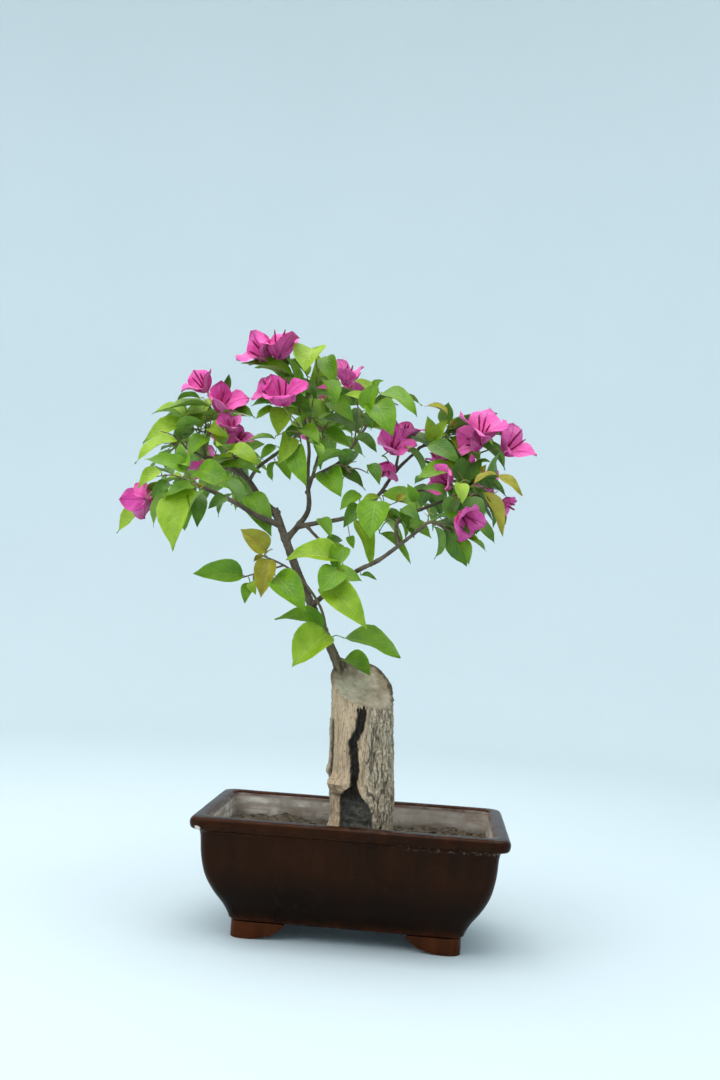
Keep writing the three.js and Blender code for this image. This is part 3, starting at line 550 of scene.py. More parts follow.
def crack_edge(x, z):
    """How far inside the crack's outline a place on the stump's face lies."""
    heights = [row[0] for row in reversed(crack_rows)]
    middle = np.interp(z, heights, [row[1] for row in reversed(crack_rows)])
    half = np.interp(z, heights, [row[2] for row in reversed(crack_rows)])
    ragged = (bumps(x / 4, 3, z / 5) * 1.1 + bumps(9, 1, z / 9) * 0.8
              + bumps(x / 1.5, 6, z / 1.9) * 0.9)
    splinters = 9 * bumps(x / 1.6, 8.3, 0.5)
    inside = half - abs(x - middle) + ragged
    return min(inside, crack_rows[0][0] - 4 - z + splinters)


def bark_relief(x, y, z, furrowed):
    """Height of the bark, plates parted by furrows or fine fissures, and how far into one a place is."""
    warp = bumps(x / 9, y / 9, z / 14) * 1.8
    long_furrow = 1 - soft(abs(bumps((x + warp) / 4.4, (y + warp) / 4.4, z / 30)), 0.01, 0.17)
    short_furrow = 1 - soft(abs(bumps((x - warp) / 2.3 + 7, (y + warp) / 2.3, z / 11)), 0.01, 0.2)
    cross_crack = 1 - soft(abs(bumps(x / 7, y / 7 + 3, (z + 2 * warp) / 4.2)), 0.01, 0.11)
    cross_crack *= soft(bumps(x / 8, y / 8, z / 12 + 9), -0.05, 0.25)
    fibre = bumps(x / 1.3, y / 1.3, z / 13)
    crumb = bumps(x / 1.6, y / 1.6, z / 2.4)
    broad = bumps(x / 15, y / 15, z / 34)
    rough = (-1.7 * long_furrow - 0.7 * short_furrow - 0.7 * cross_crack + 0.3 * fibre + 0.6 * crumb
             + 1.2 * broad + 0.5)
    split = soft(bumps(x / 2.2, y / 2.2, z / 26), 0.22, 0.46)
    plain = 0.16 * fibre + 0.9 * broad + 0.4 * crumb - 0.5 * split
    seam = max(long_furrow, 0.55 * short_furrow, 0.7 * cross_crack)
    return rough * furrowed + plain * (1 - furrowed), seam * furrowed + 0.5 * split * (1 - furrowed)


stub = bmesh.new()
burnt_and_gap_shade = stub.verts.layers.float.new("burnt_and_gap_shade")
sawn = stub.verts.layers.float.new("sawn")
furrow = stub.verts.layers.float.new("furrow")
fissure_and_fold_shade = stub.verts.layers.float.new("fissure_and_fold_shade")
dark_edge = stub.verts.layers.float.new("dark_edge")
bmesh.ops.create_cone(stub, cap_ends=False, segments=stump_sides, radius1=1, radius2=1, depth=1)
bmesh.ops.translate(stub, vec=(0, 0, 0.5), verts=stub.verts)
uprights = [edge for edge in stub.edges if abs(edge.verts[0].co.z - edge.verts[1].co.z) > 0.5]
bmesh.ops.subdivide_edges(stub, edges=uprights, cuts=rings - 1)
foot_ring = [edge for edge in stub.edges if max(edge.verts[0].co.z, edge.verts[1].co.z) < 0.0001]
ring = [edge for edge in stub.edges if min(edge.verts[0].co.z, edge.verts[1].co.z) > 0.9999]
for step in range(1, cap_rings + 1):
    ring, spots, _ = raise_ring(stub, ring)
    shrink = 1 - 1 / (cap_rings + 2 - step)
    bmesh.ops.scale(stub, vec=(shrink, shrink, 1), verts=spots)
    bmesh.ops.translate(stub, vec=(0, 0, 0.01), verts=spots)
bmesh.ops.holes_fill(stub, edges=ring)
bmesh.ops.holes_fill(stub, edges=foot_ring)
bmesh.ops.recalc_face_normals(stub, faces=stub.faces)
for spot in stub.verts:
    angle = math.atan2(spot.co.y, spot.co.x)
    across = math.hypot(spot.co.x, spot.co.y)
    share = min(spot.co.z, 1)
    taper = stump_foot_radius + (stump_top_radius - stump_foot_radius) * share
    ridges = math.sin(angle * 9 + share * 3) * 0.6 + math.sin(angle * 5 - share * 4 + 1) * 0.7
    flare = 3 * math.exp(-share * 14) * (0.6 + 0.4 * math.cos(angle * 3 + 0.4))
    waist = 3 * math.exp(-((share - 0.17) / 0.09) ** 2) * soft(-math.cos(angle), 0.3, 0.8)
    waist += 3.5 * math.exp(-share * 9) * soft(math.cos(angle), 0.3, 0.8)
    radius = taper + ridges + flare - waist
    x = stump_foot_x + stump_lean * share * share + radius * math.cos(angle)
    y = radius * math.sin(angle) * stump_depth
    foot = soil_level - stump_sink
    z = foot + (cut_level(x, y) - foot) * share
    front = soft(-y, 2, 14)
    right_side = soft(x + 3 * bumps(1, 5, z / 16), 6, 13)
    spot[furrow] = max(right_side, 1 - front) * (1 - 0.5 * soft(z, 250, 270))
    knot = math.exp(-((x - knot_x) / 9) ** 2 - ((z - knot_z) / 6.5) ** 2) * front
    fold = math.exp(-((x - fold_x) / 11) ** 2 - ((z - fold_z - 0.12 * x) / 2) ** 2) * front
    wrinkle = knot * bumps(x / 9, 4, z / 2.1)
    roll = math.exp(-((x - 17 - (150 - z) * 0.28) / 4) ** 2) * soft(z, 126, 136) * soft(z, 164, 152) * front
    along_slab = soft(z, 160, 168) * soft(z, 228, 222)
    gap_angle = angle + 2.76 + 0.03 * bumps(3, 8, z / 7)
    gap = math.exp(-(gap_angle / 0.04) ** 2) * along_slab
    gap_shade = math.exp(-((gap_angle + 0.03) / 0.05) ** 4) * along_slab
    slab = along_slab * (soft(-angle, 2.8, 2.86) if angle < 0 else soft(angle, 2.5, 2.8))
    swell = leader_swell(x, y)
    if spot.co.z <= 1:
        lift, spot[fissure_and_fold_shade] = bark_relief(x, y, z, spot[furrow])
        lift += 8 * knot - 5 * fold + 4.5 * wrinkle + 2.6 * roll - 6 * gap
        lift += 1.5 * bumps(x / 6, y / 6, z / 7) * soft(z, 172, 150) * front
        lift += slab * (1.6 + 2.6 * math.exp(-((z - 169) / 6) ** 2))
        lift -= worn_edge * soft(share, 0.972, 1)
        # Painted shade: the fold under the knot is marked as a fissure, so it takes the dark fissure colour.
        spot[fissure_and_fold_shade] = max(spot[fissure_and_fold_shade], fold)
        torn = 0.02 * bumps(x / 4, y / 4, z / 6)
        spot[dark_edge] = soft(share + torn, 0.955, 0.98) * soft(y, -16, 2)
        lift += 2.4 * spot[dark_edge]
        spot[dark_edge] = max(spot[dark_edge], soft(share, 0.9, 0.96) * soft(swell, 0.2, 0.5))
        x += lift * math.cos(angle)
        y += lift * math.sin(angle) * stump_depth
        z += leader_rise * swell * share ** 8 - cut_drop * soft(share, 0.985, 1)
        inside = crack_edge(x, z)
        if y < -8 and inside > -2:
            deep = soft(inside, -0.3, 2.6)
            wall = (np.interp(z, (146, 170), (crack_back, crack_back_above))
                    + 2.5 * bumps(x / 7, 0, z / 6) + 1.2 * bumps(x / 2.2, 5, z / 2.6))
            y += (wall - y) * deep
            y -= 0.9 * (1 - abs(2 * soft(inside, -2, 0.6) - 1))
            spot[burnt_and_gap_shade] = soft(inside, -0.9, 1.2)
        spot[sawn] = 0.6 * soft(share, 0.985, 1)
        # Painted shade: the gap behind the loose slab at the left edge takes the soot colour of the hollow.
        spot[burnt_and_gap_shade] = max(spot[burnt_and_gap_shade], 0.95 * gap_shade)
    else:
        x = stump_foot_x + stump_lean + (radius - worn_edge) * across * math.cos(angle)
        y = (radius - worn_edge) * across * math.sin(angle) * stump_depth
        z = cut_level(x, y) - 1.4 * (1 - across ** 2) - cut_drop
        z += 0.5 * bumps(x / 3, y / 3, 2) + 1.3 * bumps(x / 12, y / 12, 4)
        crust, swell = bumps(x / 5, y / 5, 6), leader_swell(x, y)
        z += swell * (leader_rise + 3 * crust)
        spot[sawn] = 1
        spot[dark_edge] = max(soft(swell + 0.2 * crust, 0.3, 0.6),
                              0.65 * soft(y - 0.9 * (x + 10) + 9 * crust, 0, 24),
                              soft(across + 0.05 * crust, 0.93, 0.97) * soft(y, 0, 10))
    spot.co = (x, y, z)
bmesh.ops.transform(stub, matrix=into_frame, verts=stub.verts)


def crazed(place, size, stretch):
    """How far a place is from the nearest of a net of ragged cracks round plates of about a size."""
    bent = place.node("ShaderNodeTexNoise", None,
                      {"Vector": place, "Scale": 1.2 / size, "Detail": 3}, "Color")
    bent = place.node("ShaderNodeVectorMath", {"operation": "SUBTRACT"}, {0: bent, 1: (0.5, 0.5, 0.5)})
    bent = place.node("ShaderNodeVectorMath", {"operation": "SCALE"}, {0: bent, "Scale": 0.9 * size})
    bent = place.node("ShaderNodeVectorMath", {"operation": "ADD"}, {0: place, 1: bent})
    scale = (1 / size, 1 / size, 1 / size / stretch)
    spot = place.node("ShaderNodeMapping", None, {"Vector": bent, "Scale": scale})
    return place.node("ShaderNodeTexVoronoi", {"feature": "DISTANCE_TO_EDGE"}, {"Vector": spot, "Scale": 1})


old_bark, shade, place = new_finish("old_bark")
char_and_gap_shade = painted(shade, "burnt_and_gap_shade")
cut = painted(shade, "sawn")
rough_bark = painted(shade, "furrow")
cracks = painted(shade, "fissure_and_fold_shade")
edge_bark = painted(shade, "dark_edge")
stains = grain(place, 0.03, 4, 0.6)
streaks = grain(place, 0.004, 4, 0.65, (1, 1, 4))
fibres = grain(place, 0.0014, 3, 0.6, (1, 1, 5))
specks = grain(place, 0.0016, 3, 0.7)
patches = grain(place, 0.007, 5, 0.7)
pits = grain(place, 0.0024, 2, 0.5, (1, 1, 1.6)).step(0.66, 0.74)
ripples = grain(place, 0.004, 3, 0.6, (3, 3, 0.8))
plates, flakes = crazed(place, 0.0075, 6), crazed(place, 0.003, 3)
smooth_wood = blend(streaks.step(0.3, 0.75), tint(220, 192, 160), tint(192, 164, 133))
smooth_wood = blend(patches.step(0.5, 0.68) * 0.55, smooth_wood, tint(174, 150, 122))
smooth_wood = blend(fibres.step(0.52, 0.66) * 0.75, smooth_wood, tint(140, 116, 90))
smooth_wood = blend(pits * 0.6 + flakes.step(0.04, 0.01) * 0.08, smooth_wood, tint(104, 86, 66))
furrowed = blend(patches.step(0.32, 0.66), tint(236, 218, 190), tint(194, 172, 145))
furrowed = blend(specks.step(0.56, 0.7) * 0.4, furrowed, tint(116, 99, 80))
furrowed = blend(plates.step(0.05, 0.01) * 0.55 + flakes.step(0.05, 0.01) * 0.15, furrowed, tint(74, 60, 46))
colour = blend(rough_bark, smooth_wood, furrowed)
colour = blend(stains.step(0.5, 0.72) * 0.3, colour, tint(130, 116, 96))
# Dark bark fissures; the fold under the knot is darkened with them as painted shade.
colour = blend(cracks * 0.8, colour, tint(62, 50, 39))
sawn_face = blend(stains.step(0.35, 0.65), tint(226, 208, 184), tint(166, 146, 118))
sawn_face = blend(patches.step(0.4, 0.7) * 0.4, sawn_face, tint(140, 122, 96))
sawn_face = blend(specks.step(0.54, 0.68) * 0.4, sawn_face, tint(124, 106, 84))
colour = blend(cut, colour, sawn_face)
colour = blend(edge_bark * patches.step(0.2, 0.45) * 0.9, colour, tint(80, 64, 48))
# Soot of the burnt hollow; in the gap at the left edge the same colour is painted shade.
soot_and_gap_shade = blend(streaks.step(0.35, 0.7), tint(58, 54, 49), tint(96, 89, 81))
low_soot = shade.node("ShaderNodeSeparateXYZ", None, {"Vector": place}, "Z").step(0.15, 0.13)
soot_and_gap_shade = blend(low_soot * (0.2 + 0.8 * ripples.step(0.3, 0.65)) * 0.75, soot_and_gap_shade, tint(154, 147, 137))
colour = blend(char_and_gap_shade, colour, soot_and_gap_shade)
skin = (plates.step(0, 0.08) * 0.4 + flakes.step(0, 0.12) * 0.15) * rough_bark
relief = (skin + streaks * 0.4 + fibres * 0.25 - pits * 0.6) * (1 - 0.7 * cut) + specks * 0.4
coat(shade, colour, 0.9, relief, 0.0018, Specular_IOR_Level=0.25)
stump = add_piece(stub, "stump", old_bark)
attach(stump, "root")
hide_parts("trunk")

# Leader and boughs: the living wood. One bent stem grows from the stump's top left corner and forks
# into thin grey-brown boughs, ringed and knotted where leaves have fallen, each grown on to the last.
limbs = {
    "leader": (8, 4.6, ((-27, 2, 268), (-43, -4, 309), (-62, -6, 344), (-81, -8, 382), (-95, -10, 414),
                        (-110, -12, 448))),
    "bough_left": (4, 2.4, ((-101, -10, 430), (-125, -24, 437), (-148, -40, 449), (-181, -58, 462))),
    "bough_upper_left": (4.4, 2.8, ((-107, -11, 442), (-129, 8, 460), (-148, 25, 482), (-173, 42, 498),
                                    (-200, 54, 508))),
    "bough_centre": (4, 2.2, ((-94, -10, 416), (-84, -2, 431), (-75, 7, 450), (-79, 16, 485),
                              (-80, 20, 512))),
    "bough_rear_right": (3.1, 2, ((-85, -3, 430), (-61, -12, 435), (-37, -16, 440), (-14, -8, 450),
                                  (3, 8, 473), (19, 24, 502), (41, 36, 528))),
    "bough_front_right": (3.5, 2.1, ((-62, -6, 345), (-48, -20, 357), (-30, -38, 371), (-12, -50, 384),
                                     (10, -59, 396), (30, -64, 412), (55, -66, 434))),
    "bough_right": (2.4, 1.9, ((30, -64, 412), (27, -57, 436), (41, -46, 448), (79, -26, 468))),
    "bough_cross": (2.5, 1.8, ((-147, 24, 480), (-135, 12, 495), (-110, 2, 514), (-92, -6, 531))),
    "bough_upper_right": (2.5, 1.8, ((-79, 16, 484), (-67, 8, 491), (-53, 2, 498), (-40, -4, 506),
                                     (-32, -6, 518))),
    "spur_left": (2.3, 1.8, ((-176, 43, 499), (-196, 34, 503), (-212, 26, 510))),
    "spur_left_centre": (2.2, 1.8, ((-150, 27, 484), (-156, 20, 492), (-160, 14, 500))),
    "spur_inner": (2.2, 1.8, ((-75, -7, 433), (-66, -16, 424), (-58, -20, 417))),
    "spur_centre": (2.1, 1.7, ((-20, -11, 446), (-16, -22, 450), (-13, -30, 450))),
    "spur_mid_right": (2.1, 1.7, ((18, 23, 500), (19, 19, 509), (20, 17, 516))),
    "spur_upper_centre": (2, 1.7, ((-50, 1, 499), (-42, -10, 496), (-38, -16, 496))),
    "spur_low_right": (2.1, 1.7, ((-44, -24, 360), (-36, -36, 362), (-32, -42, 363))),
    "bough_back_left": (2.5, 1.9, ((-160, 34, 490), (-168, 52, 492), (-174, 70, 498))),
    "bough_back_centre": (2.5, 1.9, ((-78, 13, 470), (-76, 36, 492), (-72, 56, 526))),
    "bough_back_right": (2.4, 1.9, ((5, 10, 476), (28, 34, 478), (52, 56, 486))),
}


def frames_along(bend, steps):
    """Places along a bend at even steps, each with two directions across it that don't twist."""
    frames = []
    side = None
    for index in range(steps + 1):
        share = bend.evenly(index / steps)
        spot, along = bend.point(share), bend.along(share)
        if side is None:
            side = np.cross(along, (0.31, 0.95, 0.05))
        side = side - along * np.dot(side, along)
        side /= np.linalg.norm(side)
        frames.append((spot, along, side, np.cross(along, side)))
    return frames


def limb_mesh(bend, base, tip, sides, step, collar, flare):
    """A limb swept along a bend with a swollen collar, knots and a cracked skin."""
    limb = bmesh.new()
    steps = max(4, round(bend.length() / step))
    bmesh.ops.create_circle(limb, cap_ends=False, segments=sides, radius=1)
    ring, spots, last = limb.edges[:], limb.verts[:], Matrix.Identity(4)
    first_ring = ring
    for index, (spot, along, side, over) in enumerate(frames_along(bend, steps)):
        share = index / steps
        reach = share * bend.length()
        radius = (base + (tip - base) * share) * (1 + collar * math.exp(-reach / flare))
        knots = max(math.sin(reach / 9.3 + base * 7) + 0.3 * math.sin(reach / 3.1), 0) ** 6
        radius *= 1 + 0.05 * knots + 0.05 * bumps(reach / 11, base, 2)
        turned = Matrix(((*(side * radius), 0), (*(over * radius), 0), (*along, 0), (*spot, 1))).transposed()
        if index:
            ring, spots, _ = raise_ring(limb, ring)
        bmesh.ops.transform(limb, matrix=turned @ last.inverted(), verts=spots)
        last = turned
    bmesh.ops.holes_fill(limb, edges=ring)
    bmesh.ops.holes_fill(limb, edges=first_ring)
    bmesh.ops.recalc_face_normals(limb, faces=limb.faces)
    limb.normal_update()
    for spot in limb.verts:
        cracks = noise.voronoi(spot.co / 3.2)[0]
        sunk = -0.07 * base * (1 - soft(cracks[1] - cracks[0], 0, 0.35))
        spot.co += spot.normal * (sunk + 0.06 * base * noise.noise(spot.co / 2.6))
    bmesh.ops.transform(limb, matrix=into_frame, verts=limb.verts)
    return limb


young_bark, shade, place = new_finish("young_bark")
patches = grain(place, 0.014, 4, 0.6)
fine = grain(place, 0.0022, 4, 0.65)
pores = grain(place, 0.001, 2, 0.6)
colour = blend(patches.step(0.3, 0.7), tint(80, 69, 57), tint(112, 100, 84))
colour = blend(fine.step(0.5, 0.7) * 0.6, colour, tint(54, 45, 36))
colour = blend(pores.step(0.62, 0.74) * 0.5, colour, tint(150, 138, 120))
coat(shade, colour, 0.82, fine * 0.8 + pores * 0.4, 0.0011, Specular_IOR_Level=0.3)
leader_root = ((-19, 14, 256), (-26, 12, 270), (-32, 9, 285))
leader_slim, bough_slim, collar = (0.68, 0.95), (0.88, 0.9), 0.4
bends = {}
for name, (base, tip, path) in limbs.items():
    bends[name] = Bend(path)
    if name == "leader":
        grown = limb_mesh(Bend(leader_root + path[1:]), base * leader_slim[0], tip * leader_slim[1],
                          28, 1.6, collar, 16)
    else:
        grown = limb_mesh(bends[name], base * bough_slim[0], tip * bough_slim[1],
                          14, 1.8, collar, 1.8 * base)
    limb = add_piece(grown, name + "_bark", young_bark)
    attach(limb, "root")
    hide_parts(name)
    "old_bark" if name == "leader" else "young_bark"

# Twigs and shoots: this year's growth. From each bough's tip a stem runs on into its mass of leaves
# and parts into thin twigs, brown at first and green at the tip, that carry leaves, thorns and blossom.
leaf_length, leaf_droop, leaf_room, leaf_tries = 50, 0.55, 10, 6
twig_reach, twig_arch = 0.45, 0.12
stem_radius, twig_radius, twig_tip_radius = 1.6, 1.1, 0.75
bract_length, bloom_stalk, thorn_length = 36, 14, 7
shoot_least, shoot_more, small_leaf_least, small_leaf_more = 14, 13, 33, 21
young_least, young_more, young_share, bronze_share = 9, 7, 0.3, 0.35
golden_turn = 2.399963
first_bloom, stem_key, single_key, flower_key, leaf_key, shoot_key = 20, 50, 60, 70, 80, 100
crown_heart = np.array((-60, 62, 430), float)
# Leaf tones: lime and deep are also lit and shaded copies of the leaf green, painted light and painted shade;
# lime is the young leaves' colour too.
LIME_AND_LIT, GREEN, DEEP_AND_SHADED, BRONZE = range(4)
masses = {
    "leaves_stump": dict(
        on="trunk", stem=((-24, 4, 264), (-32, -9, 290), (-43, -20, 322))),
    "leaves_low_left": dict(
        on="trunk", stem=((-25, 6, 266), (-42, -13, 312), (-51, -18, 343), (-75, -25, 374),
                          (-91, -30, 385), (-114, -36, 394)),
        shoots=((0.86, (-138, -34, 369), ((0.7, -128, -8, 366, GREEN),)),)),
    "leaves_low_right": dict(
        on="spur_low_right", stem=((-30, -46, 366),)),
    "leaves_inner": dict(
        on="spur_inner", stem=((-46, -22, 411),), single=((0.7, -34, -2, 418, DEEP_AND_SHADED),)),
    "leaves_centre": dict(
        on="spur_centre", heart=(4, -36, 438), reach=(58, 36, 56), twigs=4, leaves=4, turn=0.5),
    "leaves_upper_centre": dict(
        on="spur_upper_centre", heart=(-28, -24, 490), reach=(46, 38, 40), twigs=4, leaves=4, turn=1.2),
    "leaves_mid_right": dict(
        on="spur_mid_right", heart=(20, 12, 524), reach=(42, 40, 48), twigs=4, leaves=4, turn=2.4),
    "leaves_right_top": dict(
        on="bough_rear_right", heart=(84, 24, 534), reach=(70, 48, 46), twigs=7, leaves=5, turn=0.9),
    "leaves_right": dict(
        on="bough_right", heart=(112, -24, 474), reach=(62, 48, 48), twigs=6, leaves=5, turn=1.7),
    "leaves_right_low": dict(
        on="bough_front_right", heart=(84, -64, 430), reach=(46, 40, 46), twigs=4, leaves=4, turn=0.2),
    "leaves_upper_right": dict(
        on="bough_upper_right", heart=(-6, -10, 560), reach=(56, 46, 48), twigs=6, leaves=5, turn=0.7),
    "leaves_cross": dict(
        on="bough_cross", heart=(-88, -22, 526), reach=(54, 42, 52), twigs=6, leaves=4, turn=2),
    "leaves_top": dict(
        on="bough_centre", heart=(-96, 4, 594), reach=(60, 46, 48), twigs=6, leaves=4, turn=1),
    "leaves_upper_left": dict(
        on="bough_upper_left", heart=(-204, 40, 546), reach=(62, 52, 52), twigs=7, leaves=5, turn=0.4),
    "leaves_left": dict(
        on="spur_left", heart=(-234, 12, 516), reach=(44, 42, 46), twigs=6, leaves=4, turn=1.4),
    "leaves_left_centre": dict(
        on="spur_left_centre", heart=(-162, 4, 500), reach=(44, 38, 36), twigs=4, leaves=4, turn=2.2),
    "leaves_lower_left": dict(
        on="bough_left", heart=(-212, -60, 456), reach=(70, 50, 46), twigs=6, leaves=4, turn=0.8),
    "leaves_back_left": dict(
        on="bough_back_left", heart=(-190, 92, 500), reach=(62, 42, 54), twigs=6, leaves=4, turn=0.3,
        blooms=((-206, 116, 522, 2),)),
    "leaves_back_centre": dict(
        on="bough_back_centre", heart=(-70, 80, 560), reach=(66, 46, 56), twigs=6, leaves=4, turn=1.1,
        blooms=((-58, 104, 598, 2), (-92, 110, 560, 1))),
    "leaves_back_right": dict(
        on="bough_back_right", heart=(78, 80, 492), reach=(60, 44, 54), twigs=6, leaves=4, turn=1.9,
        blooms=((100, 104, 512, 2),)),
}


